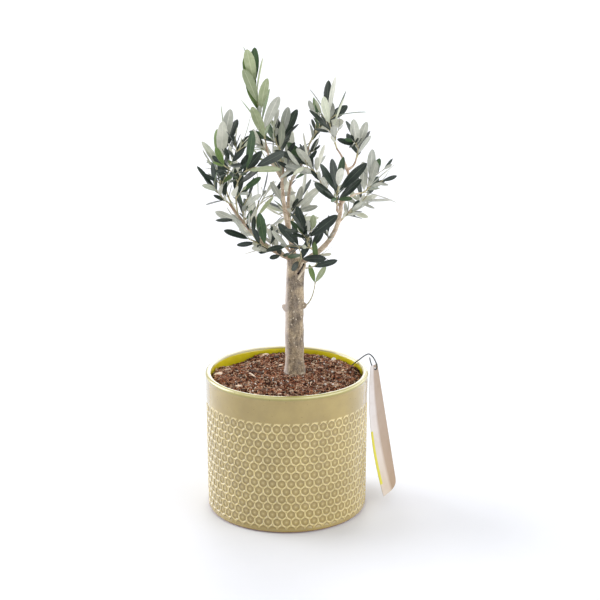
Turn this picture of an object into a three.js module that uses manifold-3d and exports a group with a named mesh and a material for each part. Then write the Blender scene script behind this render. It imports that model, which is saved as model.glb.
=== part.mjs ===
// A young olive tree in a round glazed pot, with a blank swing tag wired over the rim.
// Millimetres, +Z up, +X to the right, -Y to the front. The origin is the centre of the pot's flat underside.
// The trunk and each bough are one tapering limb. Each mass of foliage is grown by one seeded rule: a stem,
// pairs of leaves that each stand square to the pair below, and side twigs with leaves of their own.

import * as THREE from 'three';
import { mergeVertices } from 'three/addons/utils/BufferGeometryUtils.js';
import Module from 'manifold-3d';

const wasm = await Module();
wasm.setup();

// ---------------------------------------------------------------- driving dimensions

const CLEAR = 0.3;                    // gap left between pieces that touch

const POT = {
  height: 130, radius: 75, footRadius: 73.6, wall: 5.5, base: 8,
  lip: 2.4,                           // radius of the rim's rounded edges
  foot: 2.6,                          // radius of the rounded edge round the underside
  bead: 0.5,                          // how far the rim stands out from the wall below it
};
const COMB = {                        // the honeycomb embossed on the pot's wall
  columns: 55, rows: 13,
  lowest: 10.4,                       // height of the lowest row's centres
  depth: 0.8,                         // how far the middle of a cell is sunk
};

const SOIL = {
  level: 124.2,                       // height at the pot's wall
  mound: 0.4,                         // how much higher it stands round the trunk
  seat: 13,                           // radius of the flat place that the trunk stands on
  bumps: 1.3, wave: [6.1, 5.3],       // how high its bumps are, and how wide to the right and to the back
  rings: 3, around: 40,
};

const TRUNK = {
  name: 'trunk', root: [7.5, 8, 124.9], through: [7, 8, 180.5], tip: [8.5, 8, 236], thick: [17.6, 16.6],
  flare: 1.8, flareHeight: 16,        // how far the root flare stands out, and how high it reaches
  stations: [0, 0.04, 0.09, 0.15, 0.4, 0.7, 1],
  sides: 14,
};
const KNOBS = [                       // an old stump on the left, and the collar of the side shoot on the right
  { at: 0.55, toward: [-1, -0.2, 0.15], out: 7.6, radius: 3.4 },
  { at: 0.585, toward: [1, -0.3, 0], out: 8.2, radius: 3.2 },
];
const STUB = {
  name: 'stub', on: 'trunk', at: 0.86, through: [12.6, 0, 225], tip: [15.5, -6, 233], thick: [5.6, 4.4],
};

// Each bough leaves its parent's centre line at a share of its length, and its own centre line runs through
// a middle point to its tip. Thicknesses are at the root and at the tip.
const BOUGHS = [
  { name: 'left', on: 'trunk', at: 0.97, through: [-21, -5, 252], tip: [-50, -12, 289], thick: [4.8, 2.4] },
  { name: 'left_upper', on: 'trunk', at: 0.975, through: [-13, 26, 253], tip: [-27, 34, 258], thick: [2.6, 1.8] },
  { name: 'centre', on: 'trunk', at: 0.96, through: [-0.5, 8, 272], tip: [-4, 12, 307], thick: [4.6, 2.8] },
  { name: 'centre_twin', on: 'trunk', at: 0.96, through: [1.5, 24, 272], tip: [5, 28, 303], thick: [3.6, 2.4] },
  { name: 'right', on: 'trunk', at: 0.93, through: [38, -6, 254], tip: [48.5, -8, 289], thick: [5.6, 3.4] },
  { name: 'tall', on: 'centre', at: 1, through: [-14, 15, 323], tip: [-18, 12, 338], thick: [2.4, 1.8] },
  { name: 'mid', on: 'centre', at: 0.97, through: [-3, 20, 314], tip: [-5, 22, 321], thick: [1.8, 1.6] },
  { name: 'upper_right', on: 'centre_twin', at: 1, through: [14, 30, 317], tip: [20, 26, 333], thick: [2.3, 1.8] },
  { name: 'right_top', on: 'right', at: 1, through: [55, -8, 306], tip: [53.5, -6, 319], thick: [3.0, 2.4] },
  { name: 'fork_left', on: 'right_top', at: 1, through: [50, -10, 329], tip: [44.5, -10, 338], thick: [2.0, 1.6] },
  { name: 'fork_right', on: 'right_top', at: 1, through: [59, -2, 321], tip: [62, 2, 327], thick: [2.0, 1.6] },
  { name: 'right_side', on: 'right', at: 0.99, through: [58, 6, 292], tip: [66.5, 18, 292], thick: [2.0, 1.6] },
  { name: 'right_low', on: 'right', at: 0.74, through: [52, 18, 270], tip: [59.5, 34, 274], thick: [2.0, 1.6] },
  { name: 'front_right', on: 'right', at: 0.9, through: [45, -23, 285], tip: [44.5, -34, 293], thick: [2.2, 1.8] },
  { name: 'inner_right', on: 'right', at: 0.96, through: [38, 4, 294], tip: [29, 16, 306], thick: [2.0, 1.6] },
];

// Each mass of foliage has one stem, set out as a bough is. Then come its pairs of leaves, a leaf's length,
// the degrees that its lower leaves spread, the share of the stem below the first pair, and its side twigs.
const SHOOTS = [
  { name: 'tall', on: 'tall', at: 1, through: [-23.5, 12, 367], tip: [-29, 6, 400],
    pairs: 8, leaf: 35, spread: 28, first: 0.08, sides: 0, seed: 74 },
  { name: 'mid', on: 'mid', at: 1, through: [-6, 24, 331], tip: [-5, 26, 341],
    pairs: 4, leaf: 31, spread: 36, first: 0.25, sides: 1, seed: 110 },
  { name: 'upper_right', on: 'upper_right', at: 1, through: [28, 24, 348], tip: [43, 20, 362],
    pairs: 4, leaf: 30, spread: 52, first: 0.25, sides: 0, seed: 102 },
  { name: 'right_top', on: 'fork_left', at: 1, through: [39.5, -10, 355], tip: [35.5, -8, 371],
    pairs: 5, leaf: 31, spread: 40, first: 0.25, sides: 0, seed: 21 },
  { name: 'right_upper', on: 'fork_right', at: 1, through: [63.5, 4, 333], tip: [63.5, 4, 340],
    pairs: 4, leaf: 28, spread: 42, first: 0.25, sides: 1, seed: 92 },
  { name: 'right_side', on: 'right_side', at: 1, through: [73, 24, 294], tip: [76.5, 28, 301],
    pairs: 4, leaf: 31, spread: 42, first: 0.25, sides: 1, seed: 70 },
  { name: 'right_low', on: 'right_low', at: 1, through: [67, 40, 278], tip: [73, 44, 283],
    pairs: 3, leaf: 28, spread: 48, first: 0.25, sides: 1, seed: 63 },
  { name: 'front_right', on: 'front_right', at: 1, through: [44, -40, 301], tip: [45, -44, 311],
    pairs: 4, leaf: 31, spread: 45, first: 0.25, sides: 0, seed: 90 },
  { name: 'inner_right', on: 'inner_right', at: 1, through: [24, 18, 313], tip: [17.5, 18, 320],
    pairs: 4, leaf: 31, spread: 48, first: 0.25, sides: 1, seed: 48 },
  { name: 'low_right', on: 'right', at: 0.3, through: [19, -18, 254], tip: [22, -27, 268],
    pairs: 4, leaf: 30, spread: 45, first: 0.25, sides: 1, seed: 146 },
  { name: 'centre_back', on: 'centre_twin', at: 0.35, through: [7, 44, 266], tip: [13, 57, 278],
    pairs: 4, leaf: 28, spread: 45, first: 0.25, sides: 1, seed: 98 },
  { name: 'front', on: 'trunk', at: 0.95, through: [13, -16, 240], tip: [11, -29, 254],
    pairs: 4, leaf: 31, spread: 48, first: 0.25, sides: 0, seed: 150 },
  { name: 'low_front_right', on: 'trunk', at: 0.9, through: [21, -6, 229], tip: [27, -18, 236],
    pairs: 2, leaf: 24, spread: 48, first: 0.6, sides: 0, seed: 37 },
  { name: 'side_shoot', on: 'trunk', at: 0.57, through: [19.6, 4.6, 192.5], tip: [25.8, 3, 212],
    pairs: 1, leaf: 19, spread: 34, first: 0.5, sides: 0, seed: 8 },
  { name: 'left_tip', on: 'left', at: 1, through: [-57.5, -16, 297], tip: [-63, -22, 306],
    pairs: 4, leaf: 28, spread: 45, first: 0.25, sides: 2, seed: 141 },
  { name: 'left_upright', on: 'left', at: 0.94, through: [-57, -3, 316], tip: [-55, 4, 342],
    pairs: 7, leaf: 33, spread: 30, first: 0.25, sides: 1, seed: 62 },
  { name: 'left_inner', on: 'left', at: 0.87, through: [-42, -30, 312], tip: [-27, -38, 327],
    pairs: 5, leaf: 32, spread: 42, first: 0.25, sides: 1, seed: 91 },
  { name: 'left_mid', on: 'left', at: 0.76, through: [-38, -13, 283], tip: [-34.5, -16, 294],
    pairs: 3, leaf: 27, spread: 42, first: 0.25, sides: 0, seed: 94 },
  { name: 'left_low', on: 'left', at: 0.4, through: [-23, -16, 253], tip: [-32, -22, 259],
    pairs: 2, leaf: 31, spread: 36, first: 0.25, sides: 0, seed: 116 },
  { name: 'left_back', on: 'left', at: 0.56, through: [-30, 16, 259], tip: [-42, 30, 262],
    pairs: 2, leaf: 29, spread: 36, first: 0.5, sides: 0, seed: 8 },
  { name: 'left_upper', on: 'left_upper', at: 1, through: [-28, 42, 270], tip: [-23, 46, 283],
    pairs: 4, leaf: 31, spread: 42, first: 0.25, sides: 1, seed: 93 },
  { name: 'back', on: 'centre', at: 0.8, through: [-2, 40, 302], tip: [5, 56, 317],
    pairs: 4, leaf: 30, spread: 45, first: 0.25, sides: 1, seed: 88 },
];
const STEM = { thick: [1.8, 1.0], steps: 4 };
const TWIG = {
  thick: [1.2, 1.0], steps: 3,
  lowest: 0.25, range: 0.4,           // where a side twig leaves its stem, as a share of the stem
  shortest: 0.5, longer: 0.25,        // its length, as a share of the stem's
  ahead: 0.75, aside: 0.65, bow: 0.06,
  pairs: 2, first: 0.5, leaf: 0.82, turn: 45,
};

const LEAF = {
  slim: 0.255,                        // width over length
  petiole: 0.1, petioleWide: 0.7,     // the leaf stalk's share of the length, and its width
  thick: 0.7,
  stations: [0, 0.3, 0.74],           // shares of the length where the blade's section is set out
};

const RULE = {
  turn: 90,                           // degrees from one pair of leaves to the next
  roll: 40, sway: 24, twist: 110,     // how far chance turns a pair, a leaf's lean and its blade, in degrees
  lift: 0.25,                         // how strongly leaves turn up to the light
  low: 1.2, closing: 0.55,            // the spread at the first pair, and how much of it the last pair loses
  small: 0.8, swell: 0.3,             // a pair's size along the stem: small at its ends, larger between
  shortest: 0.82, longer: 0.3,        // a leaf's own length, as a share of its pair's
  flattest: 0.02, curlier: 0.2,       // how far a blade bends back, as a share of its length
  limbGap: 1.0, stemGap: 0.6, twigGap: 1.6, leafGap: 2.1, ownGap: 1.2,
  step: 1.6, across: 6,               // how closely a blade is sampled when it is tested for room
  ownStem: 0.3, ownPair: 0.35,        // the share of a leaf that may lie against its own stem, and its own pair
};

// The tag hangs almost on edge to the front: its near edge bows, its far edge is straight.
const TAG = {
  near: [[77.2, 4, 132.5], [77.9, -6, 71.3], [90.1, -16, 11.2]],
  far: [[83.6, 11, 132.5], [103.3, 33, 11.7]],
  bulge: [0.8, 4.5],                  // how far its middle stands out, at the top and at the foot
  thick: 0.8, rows: 8, columns: 3,
  holeRadius: 1.3, holeAt: 0.03,
};
const WIRE = {
  thick: 1.2, sides: 6, steps: 20,
  route: [[57, 31, 119], [62, 26, 126.8], [67.5, 19.5, 133.6], [73.2, 13, 140.2], [76.2, 9.9, 142],
    [79.6, 8.3, 139.4], [82.4, 6.9, 134.4], [83.2, 6, 130.6], [82.3, 6, 128.5], [80.4, 7.7, 128.6],
    [78.6, 9.6, 131.2], [77.2, 10.6, 135.2], [76.6, 10.4, 138.4]],
};

const COLOURS = {
  pot: [0xb0a46c, 0.2], soil: [0x5f4334, 0.95], bark: [0x968a79, 0.9], bough: [0xb89a7c, 0.85],
  foliage: [0x7f8c70, 0.6], tag: [0xe8ddd0, 0.7], wire: [0x4a5249, 0.5],
};

// ---------------------------------------------------------------- solids from rings and grids

const vec = (p) => new THREE.Vector3(...p);
const lerp = (a, b, t) => a + (b - a) * t;
const degrees = THREE.MathUtils.degToRad;

function toSolid(geometry) {
  const bare = geometry.index ? geometry.toNonIndexed() : geometry.clone();
  bare.deleteAttribute('normal');
  bare.deleteAttribute('uv');
  const merged = mergeVertices(bare, 1e-4);
  const faces = merged.index.array;
  const kept = [];
  for (let i = 0; i < faces.length; i += 3) {
    const [a, b, c] = faces.slice(i, i + 3);
    if (a !== b && b !== c && c !== a) kept.push(a, b, c);
  }
  return new wasm.Manifold(new wasm.Mesh({
    numProp: 3,
    vertProperties: Float32Array.from(merged.attributes.position.array),
    triVerts: Uint32Array.from(kept),
  }));
}

function toGeometry(solid) {
  const mesh = solid.getMesh();
  const geometry = new THREE.BufferGeometry();
  geometry.setAttribute('position', new THREE.BufferAttribute(Float32Array.from(mesh.vertProperties), 3));
  geometry.setIndex(Array.from(mesh.triVerts));
  geometry.computeVertexNormals();
  return geometry;
}

function geometryFrom(points, faces) {
  const geometry = new THREE.BufferGeometry();
  geometry.setAttribute('position', new THREE.Float32BufferAttribute(points.flatMap((p) => [p.x, p.y, p.z]), 3));
  geometry.setIndex(faces.flat());
  return geometry;
}

// A closed solid through rings that run counterclockwise about the way they are strung.
function loft(rings) {
  const n = rings[0].length;
  const points = rings.flat();
  const faces = [];
  for (let r = 0; r + 1 < rings.length; r++) {
    for (let j = 0; j < n; j++) {
      const a = r * n + j;
      const b = r * n + (j + 1) % n;
      faces.push([a, b, b + n], [a, b + n, a + n]);
    }
  }
  const last = (rings.length - 1) * n;
  for (let j = 1; j + 1 < n; j++) faces.push([0, j + 1, j], [last, last + j, last + j + 1]);
  return toSolid(geometryFrom(points, faces));
}

function ring(centre, across, heading, radius, sides) {
  const along = heading.clone().cross(across);
  return Array.from({ length: sides }, (_, j) => {
    const turn = 2 * Math.PI * j / sides;
    return centre.clone().addScaledVector(across, radius * Math.cos(turn))
      .addScaledVector(along, radius * Math.sin(turn));
  });
}

// A round section swept along a path, its ends pushed on by `over`.
function sweep(path, radiusAt, sides, stations, over = 0) {
  const first = path.heading(0);
  let across = Math.abs(first.x) < 0.7 ? new THREE.Vector3(1, 0, 0) : new THREE.Vector3(0, 1, 0);
  const rings = stations.map((t, i) => {
    const heading = path.heading(t);
    across = across.clone().addScaledVector(heading, -across.dot(heading)).normalize();
    const push = i === 0 ? -over : i === stations.length - 1 ? over : 0;
    return ring(path.point(t).addScaledVector(heading, push), across, heading, radiusAt(t), sides);
  });
  return loft(rings);
}

const evenly = (steps) => Array.from({ length: steps + 1 }, (_, i) => i / steps);

function largest(solid) {
  return solid.decompose().sort((a, b) => b.volume() - a.volume())[0];
}

// ---------------------------------------------------------------- limbs

class Limb {
  constructor(spec, parents) {
    this.name = spec.name;
    this.root = spec.root ? vec(spec.root) : parents.get(spec.on).point(spec.at);
    this.tip = vec(spec.tip);
    this.bend = vec(spec.through).multiplyScalar(2).sub(this.root.clone().add(this.tip).multiplyScalar(0.5));
    this.thick = spec.thick;
  }

  point(t) {
    return this.root.clone().multiplyScalar((1 - t) ** 2)
      .addScaledVector(this.bend, 2 * t * (1 - t)).addScaledVector(this.tip, t * t);
  }

  heading(t) {
    return this.bend.clone().sub(this.root).multiplyScalar(1 - t)
      .addScaledVector(this.tip.clone().sub(this.bend), t).normalize();
  }

  radius(t) {
    return lerp(this.thick[0], this.thick[1], t) / 2;
  }
}

const trunk = new Limb(TRUNK, null);
const parents = new Map([['trunk', trunk]]);
for (const spec of BOUGHS) parents.set(spec.name, new Limb(spec, parents));
const stub = new Limb(STUB, parents);
const stems = SHOOTS.map((spec) => new Limb({ ...spec, thick: STEM.thick }, parents));

function trunkRadius(t) {
  const height = t * (TRUNK.tip[2] - TRUNK.root[2]);
  const inFlare = Math.max(0, 1 - height / TRUNK.flareHeight);
  return trunk.radius(t) + TRUNK.flare * inFlare ** 2;
}

function trunkSolid(swell) {
  const ground = TRUNK.root[2];
  const level = new THREE.Vector3(0, 0, 1);
  const upright = {
    point: (t) => trunk.point(t),
    heading: (t) => (t === 0 ? level : trunk.heading(t)),
  };
  const bole = sweep(upright, (t) => trunkRadius(t) + swell, TRUNK.sides, TRUNK.stations, swell);
  const knobs = KNOBS.map((knob) => {
    const centre = trunk.point(knob.at).addScaledVector(vec(knob.toward).normalize(), knob.out);
    return toSolid(new THREE.IcosahedronGeometry(knob.radius + swell, 1).translate(...centre));
  });
  const stubSolid = sweep(stub, (t) => stub.radius(t) + swell, 8, evenly(3), swell);
  const whole = [...knobs, stubSolid].reduce((sum, part) => sum.add(part), bole);
  return swell > 0 ? whole : cutBelow(whole, ground);
}

function cutBelow(solid, height) {
  const block = new THREE.BoxGeometry(400, 400, 400).translate(0, 0, height - 200);
  return solid.subtract(toSolid(block));
}

function boughSolid(limb, swell) {
  const sides = limb.thick[0] > 3 ? 8 : 6;
  return sweep(limb, (t) => limb.radius(t) + swell, sides, evenly(5), swell);
}

// A twig is three-sided, and wider across its corners than a round one, so that it holds as much wood.
function twigSolid(limb, steps) {
  const asMuchWood = 1.5;
  return sweep(limb, (t) => asMuchWood * limb.radius(t), 3, evenly(steps));
}

// ---------------------------------------------------------------- the growth rule

function randomFrom(seed) {
  let state = seed * 7919 % 2147483647;
  return () => {
    state = state * 48271 % 2147483647;
    return state / 2147483647;
  };
}

// The blade's half width at a share of its length: a thin stalk, then a long blunt oval.
function halfWidth(leaf, t) {
  const stalk = LEAF.petioleWide / 2;
  const s = (t - LEAF.petiole) / (1 - LEAF.petiole);
  if (s <= 0) return stalk;
  if (s >= 1) return 0;
  return stalk + LEAF.slim / 2 * leaf.length * Math.sin(Math.PI * s ** 0.92) ** 0.62;
}

function midrib(leaf, t) {
  return leaf.base.clone()
    .addScaledVector(leaf.heading, leaf.length * t * (1 - 0.2 * leaf.curl * t * t))
    .addScaledVector(leaf.face, -leaf.length * leaf.curl * t * t * 0.5);
}

function bladeSamples(leaf) {
  const rows = Math.max(6, Math.floor(leaf.length / RULE.step));
  const side = leaf.heading.clone().cross(leaf.face);
  return Array.from({ length: rows }, (_, k) => {
    const t = (k + 1) / rows;
    const half = halfWidth(leaf, t);
    return Array.from({ length: RULE.across + 1 }, (_, j) => (
      midrib(leaf, t).addScaledVector(side, half * (2 * j / RULE.across - 1))
    ));
  });
}

// How far the nearest of some points lies from a limb's bark.
function distanceToLimb(points, limb) {
  const pieces = 8;
  let nearest = Infinity;
  for (let i = 0; i < pieces; i++) {
    const start = limb.point(i / pieces);
    const run = limb.point((i + 1) / pieces).sub(start);
    const radius = limb.radius(i / pieces);
    for (const point of points) {
      const away = point.clone().sub(start);
      const share = THREE.MathUtils.clamp(away.dot(run) / run.lengthSq(), 0, 1);
      nearest = Math.min(nearest, away.addScaledVector(run, -share).length() - radius);
    }
  }
  return nearest;
}

function pointsNearer(some, others, gap) {
  const gapSquared = gap * gap;
  return some.some((a) => others.some((b) => a.distanceToSquared(b) < gapSquared));
}

function boundOf(points) {
  const centre = points.reduce((sum, p) => sum.add(p), new THREE.Vector3()).divideScalar(points.length);
  const reach = Math.max(...points.map((p) => p.distanceTo(centre)));
  return { points, centre, reach };
}

const limbsInCrown = [...parents.values(), ...stems];
const bladesInCrown = [];

function hasRoom(leaf, stem) {
  const rows = bladeSamples(leaf);
  const all = rows.flat();
  const beyondStalk = rows.slice(Math.floor(rows.length * RULE.ownStem)).flat();
  for (const limb of limbsInCrown) {
    const own = limb === stem || limb.stem === stem;
    const gap = own ? RULE.stemGap : RULE.limbGap;
    if (distanceToLimb(own ? beyondStalk : all, limb) < gap) return null;
  }
  const outer = rows.slice(Math.floor(rows.length * RULE.ownPair)).flat();
  const bound = boundOf(all);
  for (const other of bladesInCrown) {
    if (bound.centre.distanceTo(other.centre) > bound.reach + other.reach + RULE.leafGap) continue;
    const own = other.stem === stem;
    if (pointsNearer(own ? outer : all, other.points, own ? RULE.ownGap : RULE.leafGap)) return null;
  }
  return { ...bound, stem };
}

// Two directions square to a heading, from which the turn of a pair or a twig is counted.
function squareTo(heading) {
  const across = heading.clone().cross(new THREE.Vector3(0, 1, 0)).normalize();
  return [across, heading.clone().cross(across)];
}

function growPairs(twig, shoot, stem, plan, random) {
  const leaves = [];
  for (let i = 0; i < plan.pairs; i++) {
    const share = plan.pairs > 1 ? i / (plan.pairs - 1) : 1;
    const t = lerp(plan.first, 1, share);
    const heading = twig.heading(t);
    const [across, along] = squareTo(heading);
    const turn = degrees(plan.roll + RULE.turn * i + (random() - 0.5) * RULE.roll);
    const outward = across.multiplyScalar(Math.cos(turn)).addScaledVector(along, Math.sin(turn));
    const size = (RULE.small + RULE.swell * Math.sin(Math.PI * (0.15 + 0.7 * share))) * plan.leaf;
    for (const side of [1, -1]) {
      const spread = degrees(shoot.spread * (RULE.low - RULE.closing * share) + (random() - 0.5) * RULE.sway);
      const lean = heading.clone().multiplyScalar(Math.cos(spread))
        .addScaledVector(outward, side * Math.sin(spread));
      lean.z += RULE.lift;
      lean.normalize();
      const inward = heading.clone().addScaledVector(lean, -lean.dot(heading)).normalize();
      const twist = degrees((random() - 0.5) * RULE.twist);
      const edge = lean.clone().cross(inward);
      const face = inward.multiplyScalar(Math.cos(twist)).addScaledVector(edge, Math.sin(twist));
      const length = size * (RULE.shortest + RULE.longer * random());
      const curl = RULE.flattest + RULE.curlier * random();
      const leaf = { base: twig.point(t), heading: lean, face, length, curl };
      const room = hasRoom(leaf, stem);
      if (room) {
        bladesInCrown.push(room);
        leaves.push(leaf);
      }
    }
  }
  return leaves;
}

function sideTwig(shoot, stem, random) {
  const t = TWIG.lowest + TWIG.range * random();
  const heading = stem.heading(t);
  const [across, along] = squareTo(heading);
  const turn = 2 * Math.PI * random();
  const outward = across.multiplyScalar(Math.cos(turn)).addScaledVector(along, Math.sin(turn));
  const lean = heading.clone().multiplyScalar(TWIG.ahead).addScaledVector(outward, TWIG.aside).normalize();
  const length = stem.tip.distanceTo(stem.root) * (TWIG.shortest + TWIG.longer * random());
  const root = stem.point(t);
  const tip = root.clone().addScaledVector(lean, length);
  const through = root.clone().addScaledVector(lean, length / 2).addScaledVector(heading, length * TWIG.bow);
  const twig = new Limb({
    root: root.toArray(), through: through.toArray(), tip: tip.toArray(), thick: TWIG.thick,
  });
  twig.stem = stem;
  const line = evenly(8).map((s) => twig.point(s));
  const foreign = limbsInCrown.filter((limb) => limb !== stem && limb.stem !== stem);
  const blocked = foreign.some((limb) => distanceToLimb(line.slice(2), limb) < RULE.twigGap)
    || bladesInCrown.some((blade) => blade.stem !== stem && pointsNearer(line, blade.points, RULE.leafGap));
  return blocked ? null : twig;
}

function growShoot(shoot, stem) {
  const random = randomFrom(shoot.seed);
  const roll = 360 * random();
  const leaves = growPairs(stem, shoot, stem, { ...shoot, roll }, random);
  const twigs = [];
  for (let k = 0; k < shoot.sides; k++) {
    const twig = sideTwig(shoot, stem, random);
    if (!twig) continue;
    limbsInCrown.push(twig);
    twigs.push(twig);
    const plan = {
      pairs: TWIG.pairs, first: TWIG.first, leaf: shoot.leaf * TWIG.leaf, roll: roll + TWIG.turn,
    };
    leaves.push(...growPairs(twig, shoot, stem, plan, random));
  }
  return { twigs, leaves };
}

// A leaf is a thin blade, flat above and keeled below, that closes to a point at its tip.
function leafSolid(leaf) {
  const side = leaf.heading.clone().cross(leaf.face);
  const rings = LEAF.stations.map((t) => {
    const top = midrib(leaf, t).addScaledVector(leaf.face, LEAF.thick / 3);
    const keel = midrib(leaf, t).addScaledVector(leaf.face, -2 * LEAF.thick / 3);
    const half = halfWidth(leaf, t);
    return [top.clone().addScaledVector(side, half), keel, top.clone().addScaledVector(side, -half)];
  });
  const tip = midrib(leaf, 1);
  rings.push([tip, tip, tip]);
  return loft(rings);
}

// ---------------------------------------------------------------- pot, soil, tag and wire

// Points on an arc of the pot's outline, as [radius, height].
function arc(centre, radius, from, to) {
  return [0, 0.5, 1].map((share) => {
    const turn = degrees(lerp(from, to, share));
    return [centre[0] + radius * Math.cos(turn), centre[1] + radius * Math.sin(turn)];
  });
}

function wallRadius(height) {
  return lerp(POT.footRadius, POT.radius - POT.bead, height / POT.height);
}

function innerRadius(height) {
  return lerp(POT.footRadius, POT.radius, height / POT.height) - POT.wall;
}

// The pot is strung from rings with one point for each column of the comb: the underside, the wall of sunk
// hexagons, the rim and the inside. A ring's points are counted from the front, `shift` columns on.
function potSolid() {
  const { columns, rows, lowest, depth } = COMB;
  const points = [new THREE.Vector3(0, 0, 0), new THREE.Vector3(0, 0, POT.base)];
  const faces = [];
  const eachColumn = (addFaces) => {
    for (let i = 0; i < columns; i++) faces.push(...addFaces(i));
  };
  const addRing = (radius, height, shift) => {
    const start = points.length;
    for (let i = 0; i < columns; i++) {
      const turn = 2 * Math.PI * (i + shift) / columns - Math.PI / 2;
      points.push(new THREE.Vector3(radius * Math.cos(turn), radius * Math.sin(turn), height));
    }
    return (i) => start + (i + columns) % columns;
  };
  const addOutline = (outline, shift, first) => outline.reduce((below, [radius, height]) => {
    const above = addRing(radius, height, shift);
    eachColumn((i) => [[below(i), below(i + 1), above(i + 1)], [below(i), above(i + 1), above(i)]]);
    return above;
  }, first);

  const side = 2 * Math.PI * POT.radius / columns / Math.sqrt(3);
  const combFoot = lowest - side;
  const foot = arc([POT.footRadius - POT.foot, POT.foot], POT.foot, -90, 0);
  const underside = addRing(...foot[0], 0);
  const footRing = addOutline([...foot.slice(1), [wallRadius(combFoot), combFoot]], 0, underside);

  // A cell is a fan of six faces about its sunk middle. Four of its corners lie on its own row's two rings, and
  // its top and bottom corners on the nearest rings of the rows next to it. Odd rows are half a column on.
  const wallRing = (height, shift) => addRing(wallRadius(height), height, shift);
  let under = (i) => footRing(i + 1);
  let lower = wallRing(lowest - side / 2, 0.5);
  eachColumn((i) => [[footRing(i), footRing(i + 1), lower(i)]]);
  for (let row = 0; row < rows; row++) {
    const odd = row % 2;
    const height = lowest + 1.5 * side * row;
    const middle = addRing(wallRadius(height) - depth, height, odd / 2);
    const upper = wallRing(height + side / 2, odd / 2 + 0.5);
    const over = wallRing(height + side, 1 - odd / 2);
    eachColumn((i) => {
      const ends = odd ? i : i - 1;
      const corners = [lower(i), upper(i), over(ends), upper(i - 1), lower(i - 1), under(ends)];
      return corners.map((corner, k) => [middle(i), corner, corners[(k + 1) % 6]]);
    });
    under = upper;
    lower = over;
  }
  const turned = (rows - 1) % 2;
  eachColumn((i) => [[under(i), lower(i + turned), lower(i + turned - 1)]]);

  const inside = POT.radius - POT.wall;
  const floorRing = addOutline([
    ...arc([POT.radius - POT.lip, POT.height - POT.lip], POT.lip, 0, 90),
    ...arc([inside + POT.lip, POT.height - POT.lip], POT.lip, 90, 180),
    [innerRadius(POT.base), POT.base],
  ], 1 - turned / 2, lower);
  eachColumn((i) => [[0, underside(i + 1), underside(i)], [1, floorRing(i), floorRing(i + 1)]]);
  return toSolid(geometryFrom(points, faces));
}

function soilHeight(x, y) {
  const away = Math.hypot(x - TRUNK.root[0], y - TRUNK.root[1]);
  const slope = THREE.MathUtils.smoothstep(away, SOIL.seat, POT.radius - POT.wall);
  const wave = Math.sin(x / SOIL.wave[0] + 1) * Math.cos(y / SOIL.wave[1]);
  const bumps = SOIL.bumps * wave * Math.min(1, slope * 4);
  return SOIL.level + SOIL.mound * (1 - slope) + bumps;
}

// The soil fills the pot, clear of the flats between the columns of its wall.
function soilRadius(height) {
  return innerRadius(height) * Math.cos(Math.PI / COMB.columns) - CLEAR;
}

// Rings of soil run out from the trunk's seat to the pot's wall, over a flat bottom.
function soilSolid() {
  const seat = new THREE.Vector2(TRUNK.root[0], TRUNK.root[1]);
  const bottom = POT.base + CLEAR;
  const rings = [];
  for (let r = 0; r <= SOIL.rings; r++) {
    const share = r / SOIL.rings;
    rings.push(Array.from({ length: SOIL.around }, (_, j) => {
      const turn = 2 * Math.PI * j / SOIL.around;
      const out = new THREE.Vector2(Math.cos(turn), Math.sin(turn));
      const inner = seat.clone().addScaledVector(out, SOIL.seat);
      const outer = out.clone().multiplyScalar(soilRadius(SOIL.level));
      const at = inner.lerp(outer, share);
      return new THREE.Vector3(at.x, at.y, soilHeight(at.x, at.y));
    }));
  }
  const foot = Array.from({ length: SOIL.around }, (_, j) => {
    const turn = 2 * Math.PI * j / SOIL.around;
    const reach = soilRadius(POT.base);
    return new THREE.Vector3(reach * Math.cos(turn), reach * Math.sin(turn), bottom);
  });
  return loft([foot, ...rings.reverse()]);
}

const tagNear = new THREE.QuadraticBezierCurve3(
  vec(TAG.near[0]),
  vec(TAG.near[1]).multiplyScalar(2).sub(vec(TAG.near[0]).add(vec(TAG.near[2])).multiplyScalar(0.5)),
  vec(TAG.near[2]),
);
const tagFar = new THREE.LineCurve3(vec(TAG.far[0]), vec(TAG.far[1]));

function tagPoint(down, over) {
  const near = tagNear.getPoint(down);
  const far = tagFar.getPoint(down);
  const edge = far.clone().sub(near).normalize();
  const outward = new THREE.Vector3(edge.y, -edge.x, 0).normalize();
  const bulge = lerp(TAG.bulge[0], TAG.bulge[1], down) * Math.sin(Math.PI * over);
  return near.lerp(far, over).addScaledVector(outward, bulge);
}

function tagNormal(down, over) {
  const small = 0.01;
  const along = tagPoint(down + small, over).sub(tagPoint(down - small, over));
  const across = tagPoint(down, over + small).sub(tagPoint(down, over - small));
  return across.cross(along).normalize();
}

function tagSolid() {
  const layer = (offset) => evenly(TAG.rows).map((down) => evenly(TAG.columns).map((over) => (
    tagPoint(down, over).addScaledVector(tagNormal(down, over), offset)
  )));
  const front = layer(TAG.thick / 2);
  const back = layer(-TAG.thick / 2);
  const rings = front.map((row, i) => [...row, ...back[i].toReversed()]);
  const centre = tagPoint(TAG.holeAt, 0.5);
  const punch = new THREE.CylinderGeometry(TAG.holeRadius, TAG.holeRadius, 10, 12);
  const normal = tagNormal(TAG.holeAt, 0.5);
  punch.applyQuaternion(new THREE.Quaternion().setFromUnitVectors(new THREE.Vector3(0, 1, 0), normal));
  return loft(rings).subtract(toSolid(punch.translate(centre.x, centre.y, centre.z)));
}

const wirePath = new THREE.CatmullRomCurve3(WIRE.route.map(vec), false, 'centripetal');

function wireSolid(swell) {
  const path = { point: (t) => wirePath.getPoint(t), heading: (t) => wirePath.getTangent(t) };
  return sweep(path, () => WIRE.thick / 2 + swell, WIRE.sides, evenly(WIRE.steps), swell);
}

// ---------------------------------------------------------------- the assembly

const tree = new THREE.Group();

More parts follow.
